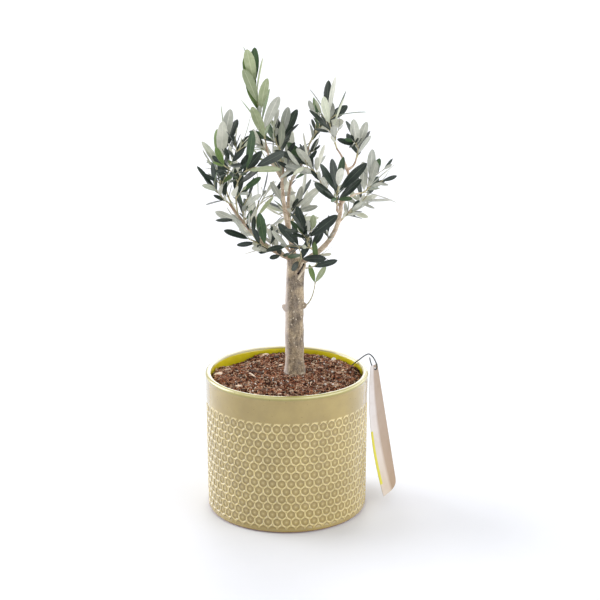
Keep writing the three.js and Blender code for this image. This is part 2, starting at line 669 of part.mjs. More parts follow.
function addPiece(name, solid, colour) {
  const [color, roughness] = COLOURS[colour];
  const material = new THREE.MeshStandardMaterial({ color, roughness, metalness: 0, flatShading: true });
  const mesh = new THREE.Mesh(toGeometry(solid), material);
  mesh.name = name;
  tree.add(mesh);
}

function touches(a, b) {
  const boxA = a.boundingBox();
  const boxB = b.boundingBox();
  return [0, 1, 2].every((k) => boxA.min[k] < boxB.max[k] && boxB.min[k] < boxA.max[k]);
}

function clearOf(solid, obstacles) {
  let clear = solid;
  for (const obstacle of obstacles) {
    if (touches(clear, obstacle)) clear = clear.subtract(obstacle);
  }
  return largest(clear);
}

addPiece('pot', potSolid(), 'pot');
addPiece('soil', soilSolid().subtract(wireSolid(CLEAR)), 'soil');
addPiece('trunk', trunkSolid(0), 'bark');

const swollen = [trunkSolid(CLEAR)];
for (const spec of BOUGHS) {
  const limb = parents.get(spec.name);
  addPiece(`bough_${spec.name}`, clearOf(boughSolid(limb, 0), swollen), 'bough');
  swollen.push(boughSolid(limb, CLEAR));
}

SHOOTS.forEach((shoot, i) => {
  const stem = stems[i];
  const { twigs, leaves } = growShoot(shoot, stem);
  const parts = [
    twigSolid(stem, STEM.steps),
    ...twigs.map((twig) => twigSolid(twig, TWIG.steps)),
    ...leaves.map(leafSolid),
  ];
  const mass = parts.reduce((sum, part) => sum.add(part));
  addPiece(`foliage_${shoot.name}`, clearOf(mass, swollen), 'foliage');
});

addPiece('tag', tagSolid(), 'tag');
addPiece('tag_wire', wireSolid(0), 'wire');

export default tree;
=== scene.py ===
"""A young olive tree in a round glazed pot with an embossed honeycomb, and a blank swing tag on its rim.

The plant grows by its solids' seeded rule: stems on the boughs, crossed pairs of leaves, side twigs.
Plans are in millimetres and meshes are in metres. +Z is up, +X to the right and -Y to the front.
"""

import math
import random

import bpy
import numpy as np
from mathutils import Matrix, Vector, noise


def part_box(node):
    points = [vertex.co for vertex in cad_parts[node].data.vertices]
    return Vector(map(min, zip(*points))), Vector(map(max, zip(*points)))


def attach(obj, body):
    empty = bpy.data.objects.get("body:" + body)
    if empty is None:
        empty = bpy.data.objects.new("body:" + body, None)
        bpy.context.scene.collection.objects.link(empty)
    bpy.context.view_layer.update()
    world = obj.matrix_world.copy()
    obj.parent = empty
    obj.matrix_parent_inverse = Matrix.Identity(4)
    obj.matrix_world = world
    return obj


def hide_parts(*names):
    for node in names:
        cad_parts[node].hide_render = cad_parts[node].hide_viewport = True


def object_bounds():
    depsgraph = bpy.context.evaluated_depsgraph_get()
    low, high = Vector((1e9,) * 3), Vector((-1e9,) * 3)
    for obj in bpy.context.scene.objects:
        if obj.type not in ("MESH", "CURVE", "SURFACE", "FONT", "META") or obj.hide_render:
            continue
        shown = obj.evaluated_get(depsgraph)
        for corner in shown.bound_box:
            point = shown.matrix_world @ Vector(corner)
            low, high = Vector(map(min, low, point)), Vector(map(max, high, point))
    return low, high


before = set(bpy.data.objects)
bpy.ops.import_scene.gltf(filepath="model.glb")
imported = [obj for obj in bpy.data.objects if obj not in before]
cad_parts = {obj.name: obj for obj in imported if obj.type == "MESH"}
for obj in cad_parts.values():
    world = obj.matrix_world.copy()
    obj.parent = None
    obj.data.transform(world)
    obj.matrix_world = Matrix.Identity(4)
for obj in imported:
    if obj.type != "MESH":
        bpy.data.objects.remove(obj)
cad_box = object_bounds()

MM = 0.001
BODY = "root"

# ---------------------------------------------------------------- driving dimensions, in millimetres

POT = {
    "height": 130, "radius": 75, "foot_radius": 73.6, "wall": 5.5, "base": 8,
    "bead": 0.5,                        # how far the rim stands out from the wall below it
}
COMB = {
    "columns": 55, "rows": 13,
    "lowest": 10.4,                     # height of the lowest whole row's centres
    "clear": 0.7,                       # plain glaze between the comb's points and the first level ring
    "cut": 2.2,                         # where the part row under the lowest one ends
    "fade": (3.4, 5.2),                 # heights between which that part row rises out of the plain foot
}
SOIL = {"level": 124.2, "mound": 0.4, "seat": 13, "bumps": 1.3, "wave": (6.1, 5.3), "edge": 68.8}
HOLLOW = {"at": (-49, 46), "reach": (4, 30), "deep": 4.6}      # where the compost has sunk at the back

TRUNK = {
    "root": (7.5, 8, 124.9), "through": (7, 8, 180.5), "tip": (8.5, 8, 236), "thick": (17.6, 16.6),
    "flare": 1.8, "flare_height": 16,
}
KNOBS = [                               # an old stump on the left, the side shoot's collar on the right
    {"at": 0.55, "toward": (-1, -0.2, 0.15), "out": 7.6, "radius": 3.4},
    {"at": 0.585, "toward": (1, -0.3, 0), "out": 8.2, "radius": 3.2},
]
SNAG = {"toward": (-1, -0.2, 0.28), "out": (4, 8, 10.5, 12), "radii": (4, 3.1, 2.2, 1.5)}
STUB = {"at": 0.86, "through": (12.6, 0, 225), "tip": (15.5, -6, 233), "thick": (5.6, 4.4)}

# Each bough: its name, its parent, where it leaves its parent, the middle point and tip of its centre line,
# and its thickness at the root and at the tip.
BOUGHS = [
    ("left", "trunk", 0.97, (-21, -5, 252), (-50, -12, 289), (4.8, 2.4)),
    ("left_upper", "trunk", 0.975, (-13, 26, 253), (-27, 34, 258), (2.6, 1.8)),
    ("centre", "trunk", 0.96, (-0.5, 8, 272), (-4, 12, 307), (4.6, 2.8)),
    ("centre_twin", "trunk", 0.96, (1.5, 24, 272), (5, 28, 303), (3.6, 2.4)),
    ("right", "trunk", 0.93, (38, -6, 254), (48.5, -8, 289), (5.6, 3.4)),
    ("tall", "centre", 1, (-14, 15, 323), (-18, 12, 338), (2.4, 1.8)),
    ("mid", "centre", 0.97, (-3, 20, 314), (-5, 22, 321), (1.8, 1.6)),
    ("upper_right", "centre_twin", 1, (14, 30, 317), (20, 26, 333), (2.3, 1.8)),
    ("right_top", "right", 1, (55, -8, 306), (53.5, -6, 319), (3.0, 2.4)),
    ("fork_left", "right_top", 1, (50, -10, 329), (44.5, -10, 338), (2.0, 1.6)),
    ("fork_right", "right_top", 1, (59, -2, 321), (62, 2, 327), (2.0, 1.6)),
    ("right_side", "right", 0.99, (58, 6, 292), (66.5, 18, 292), (2.0, 1.6)),
    ("right_low", "right", 0.74, (52, 18, 270), (59.5, 34, 274), (2.0, 1.6)),
    ("front_right", "right", 0.9, (45, -23, 285), (44.5, -34, 293), (2.2, 1.8)),
    ("inner_right", "right", 0.96, (38, 4, 294), (29, 16, 306), (2.0, 1.6)),
]

# Each mass of foliage: its name, the limb its stem grows from and where, the stem's middle point and tip,
# then its pairs of leaves, a leaf's length, the spread of the lower leaves in degrees, the share of the stem
# below the first pair, its side twigs, and its seed.
SHOOTS = [
    ("tall", "tall", 1, (-23.5, 12, 367), (-29, 6, 400), 8, 35, 28, 0.08, 0, 74),
    ("mid", "mid", 1, (-6, 24, 331), (-5, 26, 341), 4, 31, 36, 0.25, 1, 110),
    ("upper_right", "upper_right", 1, (28, 24, 348), (43, 20, 362), 4, 30, 52, 0.25, 0, 102),
    ("right_top", "fork_left", 1, (39.5, -10, 355), (35.5, -8, 371), 5, 31, 40, 0.25, 0, 21),
    ("right_upper", "fork_right", 1, (63.5, 4, 333), (63.5, 4, 340), 4, 28, 42, 0.25, 1, 92),
    ("right_side", "right_side", 1, (73, 24, 294), (76.5, 28, 301), 4, 31, 42, 0.25, 1, 70),
    ("right_low", "right_low", 1, (67, 40, 278), (73, 44, 283), 3, 28, 48, 0.25, 1, 63),
    ("front_right", "front_right", 1, (44, -40, 301), (45, -44, 311), 4, 31, 45, 0.25, 0, 90),
    ("inner_right", "inner_right", 1, (24, 18, 313), (17.5, 18, 320), 4, 31, 48, 0.25, 1, 48),
    ("low_right", "right", 0.3, (19, -18, 254), (22, -27, 268), 4, 30, 45, 0.25, 1, 146),
    ("centre_back", "centre_twin", 0.35, (7, 44, 266), (13, 57, 278), 4, 28, 45, 0.25, 1, 98),
    ("front", "trunk", 0.95, (13, -16, 240), (11, -29, 254), 4, 31, 48, 0.25, 0, 150),
    ("low_front_right", "trunk", 0.9, (21, -6, 229), (27, -18, 236), 2, 24, 48, 0.6, 0, 37),
    ("side_shoot", "trunk", 0.57, (19.6, 4.6, 192.5), (25.8, 3, 212), 1, 19, 34, 0.5, 0, 8),
    ("left_tip", "left", 1, (-57.5, -16, 297), (-63, -22, 306), 4, 28, 45, 0.25, 2, 141),
    ("left_upright", "left", 0.94, (-57, -3, 316), (-55, 4, 342), 7, 33, 30, 0.25, 1, 62),
    ("left_inner", "left", 0.87, (-42, -30, 312), (-27, -38, 327), 5, 32, 42, 0.25, 1, 91),
    ("left_mid", "left", 0.76, (-38, -13, 283), (-34.5, -16, 294), 3, 27, 42, 0.25, 0, 94),
    ("left_low", "left", 0.4, (-23, -16, 253), (-32, -22, 259), 2, 31, 36, 0.25, 0, 116),
    ("left_back", "left", 0.56, (-30, 16, 259), (-42, 30, 262), 2, 29, 36, 0.5, 0, 8),
    ("left_upper", "left_upper", 1, (-28, 42, 270), (-23, 46, 283), 4, 31, 42, 0.25, 1, 93),
    ("back", "centre", 0.8, (-2, 40, 302), (5, 56, 317), 4, 30, 45, 0.25, 1, 88),
]
STEM_THICK = (1.8, 1.0)
TWIG = {
    "thick": (1.2, 1.0), "lowest": 0.25, "range": 0.4, "shortest": 0.5, "longer": 0.25,
    "ahead": 0.75, "aside": 0.65, "bow": 0.06, "pairs": 2, "first": 0.5, "leaf": 0.82, "turn": 45,
}
LEAF = {"slim": 0.255, "petiole": 0.1, "petiole_wide": 0.7}
RULE = {
    "turn": 90, "roll": 40, "sway": 24, "twist": 110, "lift": 0.25, "low": 1.2, "closing": 0.55,
    "small": 0.8, "swell": 0.3, "shortest": 0.82, "longer": 0.3, "flattest": 0.02, "curlier": 0.2,
    "limb_gap": 1.0, "stem_gap": 0.6, "twig_gap": 1.6, "leaf_gap": 2.1, "own_gap": 1.2,
    "step": 1.6, "across": 6,
}

# The share of young, yellow-green leaves in a mass, where it isn't the usual one.
YOUNG = {"tall": 0.75, "side_shoot": 1, "low_front_right": 0.8, "left_upright": 0.25, "left_inner": 0.2}
USUALLY_YOUNG = 0.045
SMALL_LESS_YOUNG = 0.14
DEEP = 0.85                             # share of the older leaves that are the darkest kind

TAG = {
    "near": ((77.2, 4, 132.5), (77.9, -6, 71.3), (90.1, -16, 11.2)),
    "far": ((83.6, 11, 132.5), (103.3, 33, 11.7)),
    "bulge": (0.8, 4.5), "thick": 0.5, "rows": 44, "columns": 10, "hole": 1.3, "hole_at": 0.03,
}
WIRE = {
    "thick": 1.15,
    "route": ((57, 31, 119), (62, 26, 126.8), (67.5, 19.5, 133.6), (73.2, 13, 140.2), (76.2, 9.9, 142),
              (79.6, 8.3, 139.4), (82.4, 6.9, 134.4), (83.2, 6, 130.6), (82.3, 6, 128.5), (80.4, 7.7, 128.6),
              (78.6, 9.6, 131.2), (77.2, 10.6, 135.2), (76.6, 10.4, 138.4)),
}


# ---------------------------------------------------------------- camera

CAMERA = {"at": (0.01216, -1.3937, 0.6048), "down": 16.313, "sensor": 36, "lens": 96}


def add_camera():
    camera = bpy.data.objects.new("camera", bpy.data.cameras.new("camera"))
    camera.data.sensor_width = CAMERA["sensor"]
    camera.data.lens = CAMERA["lens"]
    camera.location = CAMERA["at"]
    camera.rotation_euler = (math.radians(90 - CAMERA["down"]), 0, 0)
    bpy.context.scene.collection.objects.link(camera)
    bpy.context.scene.camera = camera


# ---------------------------------------------------------------- working by hand

def deselect_all():
    bpy.ops.object.select_all(action="DESELECT")


def take(piece):
    """Makes a piece the one that operators act on."""
    deselect_all()
    piece.select_set(True)
    bpy.context.view_layer.objects.active = piece


def open_mesh(piece, select="NONE"):
    take(piece)
    bpy.ops.object.mode_set(mode="EDIT")
    bpy.ops.mesh.select_mode(type="VERT")
    if select == "ALL":
        bpy.ops.mesh.select_all(action="SELECT")


def close_mesh():
    bpy.ops.object.mode_set(mode="OBJECT")


def keep_selected(piece, test):
    """Of the selected points, keeps those that pass the test."""
    close_mesh()
    for edge in piece.data.edges:
        edge.select = False
    for face in piece.data.polygons:
        face.select = False
    for point in piece.data.vertices:
        point.select = point.select and test(point.co)
    bpy.ops.object.mode_set(mode="EDIT")


def apply_modifier(piece, kind, **settings):
    take(piece)
    bpy.ops.object.modifier_add(type=kind)
    modifier = piece.modifiers[-1]
    for name, value in settings.items():
        setattr(modifier, name, value)
    bpy.ops.object.modifier_apply(modifier=modifier.name)


def join(pieces, name):
    deselect_all()
    for piece in pieces:
        piece.select_set(True)
    bpy.context.view_layer.objects.active = pieces[0]
    bpy.ops.object.join()
    pieces[0].name = name
    pieces[0].data.name = name
    return pieces[0]


def smooth(piece, degrees):
    take(piece)
    bpy.ops.object.shade_smooth_by_angle(angle=math.radians(degrees))


def points_of(piece):
    points = np.zeros(len(piece.data.vertices) * 3)
    piece.data.vertices.foreach_get("co", points)
    return points.reshape(-1, 3)


def move_points(piece, points):
    piece.data.vertices.foreach_set("co", np.asarray(points, float).ravel())
    piece.data.update()


def set_values(piece, name, values):
    piece.data.attributes[name].data.foreach_set("value", np.asarray(values, np.float32))


def give_values(piece, name, values):
    piece.data.attributes.new(name, "FLOAT", "POINT")
    set_values(piece, name, values)


def values_of(piece, name):
    values = np.zeros(len(piece.data.vertices), np.float32)
    piece.data.attributes[name].data.foreach_get("value", values)
    return values


def mesh_piece(name, points, faces):
    """A joined mesh of many small things, from points in millimetres."""
    mesh = bpy.data.meshes.new(name)
    mesh.from_pydata((np.asarray(points) * MM).tolist(), [], faces)
    mesh.update()
    piece = bpy.data.objects.new(name, mesh)
    bpy.context.scene.collection.objects.link(piece)
    return piece


def finish_piece(piece, slot, *nodes):
    """Seats a piece on the plant and hides the solids that it stands for."""
    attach(piece, BODY)
    if nodes:
        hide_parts(*nodes)


def unit(vector):
    return vector / np.linalg.norm(vector)


def lerp(a, b, share):
    return a + (b - a) * share


def smooth_share(value, low, high):
    """0 below low, 1 above high, and an even curve between them."""
    share = np.clip((value - low) / (high - low), 0, 1)
    return share * share * (3 - 2 * share)


def rough(x, y, z):
    """Smooth noise at a place, about -1 to 1."""
    return noise.noise(Vector((x, y, z)))


def ring_faces(rings, around):
    """The faces between rings of points that have as many points each."""
    faces = []
    for r in range(rings - 1):
        for j in range(around):
            a, b = r * around + j, r * around + (j + 1) % around
            faces.append((a, b, b + around, a + around))
    return faces


# ---------------------------------------------------------------- shader nodes

class Nodes:
    """Shader nodes in the making. What an input is given is another node's output or a plain value."""

    def __init__(self, tree):
        self.tree = tree

    def give(self, socket, given):
        if isinstance(given, bpy.types.NodeSocket):
            self.tree.links.new(given, socket)
        else:
            socket.default_value = given

    def node(self, kind, given, **settings):
        node = self.tree.nodes.new(kind)
        for name, value in settings.items():
            setattr(node, name, value)
        for name, value in given.items():
            self.give(node.inputs[name], value)
        return node

    def math(self, operation, *given):
        node = self.node("ShaderNodeMath", {}, operation=operation)
        for socket, value in zip(node.inputs, given):
            self.give(socket, value)
        return node.outputs[0]

    def mix(self, factor, low, high, blend="MIX", kind="RGBA"):
        given = {"Factor": factor, "A": low, "B": high}
        return self.node("ShaderNodeMix", given, data_type=kind, blend_type=blend).outputs["Result"]

    def multiply(self, factor, colour, by):
        return self.mix(factor, colour, by, "MULTIPLY")

    def ease(self, source, start, end, most=1.0):
        """0 at the start, the most at the end, and an even curve between them."""
        given = {"Value": source, "From Min": start, "From Max": end, "To Max": most}
        return self.node("ShaderNodeMapRange", given, interpolation_type="SMOOTHSTEP").outputs["Result"]

    def noise(self, vector, scale, detail, roughness):
        given = {"Vector": vector, "Scale": scale, "Detail": detail, "Roughness": roughness}
        return self.node("ShaderNodeTexNoise", given).outputs["Fac"]


class Group(Nodes):
    """A shader group in the making, with one output, a vector to place it, and usual numbers and colours."""

    def __init__(self, name, output, kind, **usual):
        super().__init__(bpy.data.node_groups.new(name, "ShaderNodeTree"))
        new_socket = self.tree.interface.new_socket
        new_socket("Vector", in_out="INPUT", socket_type="NodeSocketVector")
        for label, value in usual.items():
            sort = "NodeSocketColor" if isinstance(value, tuple) else "NodeSocketFloat"
            new_socket(label, in_out="INPUT", socket_type=sort).default_value = value
        new_socket(output, in_out="OUTPUT", socket_type=kind)
        self.given = self.node("NodeGroupInput", {}).outputs
        self.end = self.node("NodeGroupOutput", {}).inputs[output]

    def close(self, result):
        self.give(self.end, result)
        return self.tree


def mottle_group():
    """Two colours in soft patches."""
    group = Group("mottle", "Color", "NodeSocketColor", Scale=100.0, Low=(0, 0, 0, 1), High=(1, 1, 1, 1),
                  Balance=0.5, Softness=0.2)
    given = group.given
    patches = group.noise(given["Vector"], given["Scale"], 6.0, 0.62)
    low = group.math("SUBTRACT", given["Balance"], given["Softness"])
    high = group.math("ADD", given["Balance"], given["Softness"])
    return group.close(group.mix(group.ease(patches, low, high), given["Low"], given["High"]))


def grain_group():
    """A fine rough relief: large lumps with small grains on them."""
    group = Group("grain", "Height", "NodeSocketFloat", Coarse=300.0, Fine=1500.0, Share=0.4)
    given = group.given
    coarse, fine = [group.noise(given["Vector"], given[name], 3.0, 0.55) for name in ("Coarse", "Fine")]
    return group.close(group.mix(given["Share"], coarse, fine, kind="FLOAT"))


def specks_group():
    """Scattered round specks: 1 inside a speck and 0 outside."""
    group = Group("specks", "Mask", "NodeSocketFloat", Scale=500.0, Size=0.2, Rare=0.6)
    given = group.given
    cells = group.node("ShaderNodeTexVoronoi", {"Vector": given["Vector"], "Scale": given["Scale"]}).outputs
    inside = group.math("LESS_THAN", cells["Distance"], given["Size"])
    red = group.node("ShaderNodeSeparateColor", {"Color": cells["Color"]}).outputs["Red"]
    chosen = group.math("GREATER_THAN", red, given["Rare"])
    return group.close(group.math("MULTIPLY", inside, chosen))


GROUPS = {}


class Finish(Nodes):
    """A material in the making, with one Principled shader."""

    def __init__(self, name, **shader):
        self.material = bpy.data.materials.new(name)
        self.material.use_nodes = True
        super().__init__(self.material.node_tree)
        self.shader = self.tree.nodes["Principled BSDF"].inputs
        for label, value in shader.items():
            self.shader[label.replace("_", " ")].default_value = value

    def colour(self, source):
        self.give(self.shader["Base Color"], source)

    def group(self, name, output, vector, **values):
        given = {"Vector": vector, **values}
        return self.node("ShaderNodeGroup", given, node_tree=GROUPS[name]).outputs[output]

    def mottle(self, vector, scale, low, high, balance=0.5, softness=0.2):
        return self.group("mottle", "Color", vector, Scale=scale, Low=low, High=high, Balance=balance,
                          Softness=softness)

    def specks(self, vector, scale, size, rare):
        return self.group("specks", "Mask", vector, Scale=scale, Size=size, Rare=rare)

    def relief(self, vector, coarse, fine, share, strength, height):
        """A fine grain, with its height in millimetres."""
        grain = self.group("grain", "Height", vector, Coarse=coarse, Fine=fine, Share=share)
        given = {"Height": grain, "Strength": strength, "Distance": height * MM}
        self.give(self.shader["Normal"], self.node("ShaderNodeBump", given).outputs["Normal"])

    def place(self, stretch=(1, 1, 1)):
        """Object coordinates, stretched."""
        plain = self.node("ShaderNodeTexCoord", {}).outputs["Object"]
        return self.node("ShaderNodeMapping", {"Vector": plain, "Scale": stretch}).outputs["Vector"]

    def parts(self, vector):
        return self.node("ShaderNodeSeparateXYZ", {"Vector": vector}).outputs

    def on_map(self, name):
        """Where a point lies on the piece's own flat map, across it and down it."""
        return self.parts(self.node("ShaderNodeUVMap", {}, uv_map=name).outputs["UV"])

    def value(self, name):
        return self.node("ShaderNodeAttribute", {}, attribute_name=name).outputs["Fac"]

    def ramp(self, source, *stops):
        node = self.node("ShaderNodeValToRGB", {"Fac": source})
        while len(node.color_ramp.elements) < len(stops):
            node.color_ramp.elements.new(0.5)
        for element, (position, colour) in zip(node.color_ramp.elements, stops):
            element.position = position
            element.color = colour
        return node.outputs["Color"]


def tone(red, green, blue):
    """A colour as seen on a screen, from 0 to 255, in the shader's own light."""
    channels = [c / 255 for c in (red, green, blue)]
    return (*[c / 12.92 if c <= 0.04045 else ((c + 0.055) / 1.055) ** 2.4 for c in channels], 1)


BLACK = tone(0, 0, 0)
WHITE = tone(255, 255, 255)


# ---------------------------------------------------------------- finishes

def glaze(name, groove, plain, rib):
    """Khaki glaze, darker in the grooves and paler on the ribs, olive over the rim, with pale painted
    highlights along the lip's edges and darker olive, partly painted shade, on the rim's outer face.
    """
    finish = Finish(name, Roughness=0.22, IOR=1.65, Coat_Weight=1.0, Coat_Roughness=0.08)
    place = finish.place()
    colour = finish.ramp(finish.value("rise"), (0.0, groove), (0.5, plain), (0.85, rib), (1.0, rib))
    # Over the rim: olive glaze, pale lines painted as highlights along the lip's edges, and a darker olive on
    # its outer face that is partly painted shade.
    rim_glaze_and_painted_light = finish.value("rim_glaze_and_painted_light")
    edge = finish.ramp(rim_glaze_and_painted_light, (0.3, tone(158, 144, 70)), (0.5, tone(176, 166, 74)),
                       (0.85, tone(226, 218, 158)), (1.0, tone(248, 242, 212)))
    colour = finish.mix(finish.ramp(rim_glaze_and_painted_light, (0.05, BLACK), (0.3, WHITE)), colour, edge)
    cloud = finish.mottle(place, 42.0, tone(205, 200, 188), WHITE, softness=0.25)
    colour = finish.multiply(0.55, colour, cloud)
    specks = finish.specks(place, scale=420.0, size=0.16, rare=0.8)
    finish.colour(finish.mix(specks, colour, finish.multiply(1.0, colour, tone(190, 180, 160))))
    finish.relief(place, coarse=160.0, fine=900.0, share=0.25, strength=0.25, height=0.25)
    return finish.material


def bare_clay():
    finish = Finish("bare_clay", Roughness=0.85)
    place = finish.place()
    finish.colour(finish.mottle(place, 160.0, tone(138, 98, 76), tone(170, 128, 102)))
    finish.relief(place, coarse=700.0, fine=2600.0, share=0.5, strength=0.4, height=0.15)
    return finish.material


def compost():
    """Dark peat and bark between the crumbs."""
    finish = Finish("compost", Roughness=0.95, Specular_IOR_Level=0.25)
    place = finish.place()
    finish.colour(finish.mottle(place, 520.0, tone(26, 12, 8), tone(104, 64, 46), 0.52, 0.14))
    finish.relief(place, coarse=500.0, fine=2200.0, share=0.5, strength=0.9, height=0.8)
    return finish.material


def crumb(name, dark, middle, light, roughness=0.9, damp=0.85):
    """Small pieces whose shade changes from one piece to the next, and darker in damp spots."""
    finish = Finish(name, Roughness=roughness, Specular_IOR_Level=0.3)
    place = finish.place()
    shade = finish.ramp(finish.value("shade"), (0.0, dark), (0.55, middle), (1.0, light))
    colour = finish.multiply(0.6, shade, finish.mottle(place, 900.0, tone(150, 140, 130), WHITE, 0.46))
    spots = finish.mottle(place, 300.0, tone(92, 72, 62), WHITE, 0.46, 0.07)
    finish.colour(finish.multiply(damp, colour, spots))
    finish.relief(place, coarse=1300.0, fine=4200.0, share=0.5, strength=0.6, height=0.25)
    return finish.material


# The trunk's left side is paled by painted light, as if lit from the left: where that begins and where it is
# full, as x in metres, how strong it is, and its colour.
PAINTED_LEFT_LIGHT = {"from": 0.003, "to": -0.0012, "share": 0.55, "colour": tone(236, 222, 216)}


def trunk_bark():
    """Grey-brown bark, patchy, paler on the left where light is painted on, with fine pale lenticels, and
    bare wood where pruned.
    """
    finish = Finish("trunk_bark", Roughness=0.85, Specular_IOR_Level=0.3, Sheen_Weight=0.6,
                    Sheen_Roughness=0.35)
    upright = finish.place((1, 1, 0.35))
    even = finish.place()
    colour = finish.mottle(even, 75.0, tone(152, 139, 124), tone(206, 187, 158), softness=0.14)
    grey = finish.mottle(upright, 330.0, tone(150, 144, 138), WHITE, 0.45, 0.16)
    colour = finish.multiply(0.75, colour, grey)
    fine = finish.mottle(even, 1100.0, tone(152, 146, 140), WHITE, 0.46, 0.14)
    colour = finish.multiply(0.8, colour, fine)
    # Painted light: the trunk's left side turns pale and pinkish as if lit from the left.
    painted_light_share = finish.ease(finish.parts(even)["X"], PAINTED_LEFT_LIGHT["from"], PAINTED_LEFT_LIGHT["to"])
    colour = finish.mix(painted_light_share, colour, finish.mix(PAINTED_LEFT_LIGHT["share"], colour, PAINTED_LEFT_LIGHT["colour"]))
    spots = finish.specks(finish.place((1, 1, 0.8)), scale=430.0, size=0.27, rare=0.62)
    colour = finish.mix(spots, colour, tone(216, 203, 182))
    pits = finish.specks(finish.place((1, 1, 0.6)), scale=300.0, size=0.13, rare=0.8)
    colour = finish.mix(pits, colour, tone(84, 70, 56))
    wood = finish.value("wood")
    colour = finish.mix(finish.ramp(wood, (0.6, BLACK), (0.9, WHITE)), colour, tone(214, 200, 176))
    finish.colour(finish.mix(finish.ramp(wood, (0.1, WHITE), (0.4, BLACK)), colour, tone(44, 30, 24)))
    finish.relief(upright, coarse=520.0, fine=1900.0, share=0.45, strength=0.9, height=0.45)
    return finish.material


def bough_bark():
    """Smooth tan bark of young boughs, with brown patches and pale spots."""
    finish = Finish("bough_bark", Roughness=0.75, Specular_IOR_Level=0.35)
    place = finish.place()
    base = finish.mottle(place, 120.0, tone(168, 142, 120), tone(222, 206, 184), 0.48, 0.14)
    colour = finish.multiply(0.7, base, finish.mottle(place, 900.0, tone(184, 168, 152), WHITE, 0.45))
    spots = finish.specks(place, scale=620.0, size=0.24, rare=0.7)
    finish.colour(finish.mix(spots, colour, tone(224, 208, 184)))
    finish.relief(place, coarse=800.0, fine=2600.0, share=0.4, strength=0.5, height=0.25)
    return finish.material


def twig_bark():
    """Pale grey-green skin of this year's twigs."""
    finish = Finish("twig_bark", Roughness=0.6, Specular_IOR_Level=0.4)
    place = finish.place()
    finish.colour(finish.mottle(place, 420.0, tone(150, 142, 102), tone(206, 196, 160), 0.48, 0.16))
    finish.relief(place, coarse=1400.0, fine=3600.0, share=0.4, strength=0.4, height=0.15)
    return finish.material


def leaf_skin(name, low, high, rib, roughness, rib_wide):
    """One side of a leaf: two near shades, a paler midrib and edge, and a fine leathery grain."""
    finish = Finish(name, Roughness=roughness, IOR=1.45)
    place = finish.place()
    shade = finish.ramp(finish.value("shade"), (0.0, tone(196, 200, 200)), (1.0, tone(255, 255, 250)))
    colour = finish.multiply(1.0, finish.mottle(place, 210.0, low, high, softness=0.25), shade)
    off = finish.math("ABSOLUTE", finish.math("SUBTRACT", finish.on_map("blade")["X"], 0.5))
    for start, end, most in ((rib_wide, rib_wide * 0.4, 0.55), (0.45, 0.5, 0.4)):
        colour = finish.mix(finish.ease(off, start, end, most), colour, rib)
    finish.colour(colour)
    finish.relief(place, coarse=900.0, fine=3200.0, share=0.4, strength=0.35, height=0.12)
    return finish.material


# The tag's stripe, in shares of its width and of its height from the top.
STRIPE = {"wide": 0.075, "from": 0.5, "to": 0.91}


def card_finish():
    """Matt card, browner beyond its fold and darker and yellower towards its foot, with a lime stripe on its
    near edge.
    """
    finish = Finish("tag_card", Roughness=0.7, Specular_IOR_Level=0.35)
    place = finish.place()
    across, down, _ = finish.on_map("card")
    panels = finish.ramp(across, (0.0, tone(222, 217, 216)), (0.26, tone(220, 213, 210)),
                         (0.38, tone(180, 162, 147)), (1.0, tone(166, 147, 129)))
    colour = finish.multiply(0.6, panels, finish.mottle(place, 38.0, tone(226, 218, 208), WHITE, 0.42))
    colour = finish.multiply(1.0, colour, finish.ramp(down, (0.35, WHITE), (0.95, tone(243, 232, 214))))
    stripe = finish.math("LESS_THAN", across, STRIPE["wide"])
    for side, limit in (("GREATER_THAN", STRIPE["from"]), ("LESS_THAN", STRIPE["to"])):
        stripe = finish.math("MULTIPLY", stripe, finish.math(side, down, limit))
    finish.colour(finish.mix(stripe, colour, tone(214, 206, 74)))
    finish.relief(place, coarse=900.0, fine=3000.0, share=0.6, strength=0.25, height=0.08)
    return finish.material


def wire_coat():
    finish = Finish("wire_coat", Roughness=0.42)
    place = finish.place()
    finish.colour(finish.mottle(place, 300.0, tone(34, 44, 40), tone(58, 70, 62)))
    finish.relief(place, coarse=1200.0, fine=3600.0, share=0.4, strength=0.3, height=0.06)
    return finish.material


def studio_floor():
    finish = Finish("studio_floor", Roughness=0.55, Specular_IOR_Level=0.2)
    finish.colour(finish.mottle(finish.place(), 3.0, tone(236, 238, 244), tone(242, 244, 250), softness=0.3))
    return finish.material


# ---------------------------------------------------------------- pot

def wall_radius(height):
    return lerp(POT["foot_radius"], POT["radius"] - POT["bead"], np.clip(height / POT["height"], 0, 1))


# A honeycomb cell is cut by insets from its rib to its button: how far in each goes, how deep, how round it
# has become, and how high it counts for the glaze.
CELL_CUTS = [
    (0.5, 0.0, 0.1, 1.0), (0.34, -0.5, 0.7, 0.45), (0.46, -0.12, 0.95, 0.0), (0.6, 0.06, 1.0, 0.05),
    (0.7, 0.24, 1.0, 0.45),
]
CELL_CORNERS = 12
BARE_FOOT = 0.9                         # the glaze stops this far above the floor
INNER_GLAZE = 70.5                      # within this radius the glaze is the bright inside one
CELL_DIMPLE = (0.16, 0.3)               # how deep the net sinks where cells meet, and how high it counts
CELL_DOME = (0.1, 0.7)                  # how far the button's middle stands out, and how high it counts
TOP_POINTS = 0.85                       # how high the top row's points count, where they meet the plain band
TOP_NOTCHES = 0.0                       # the same for the notches between them

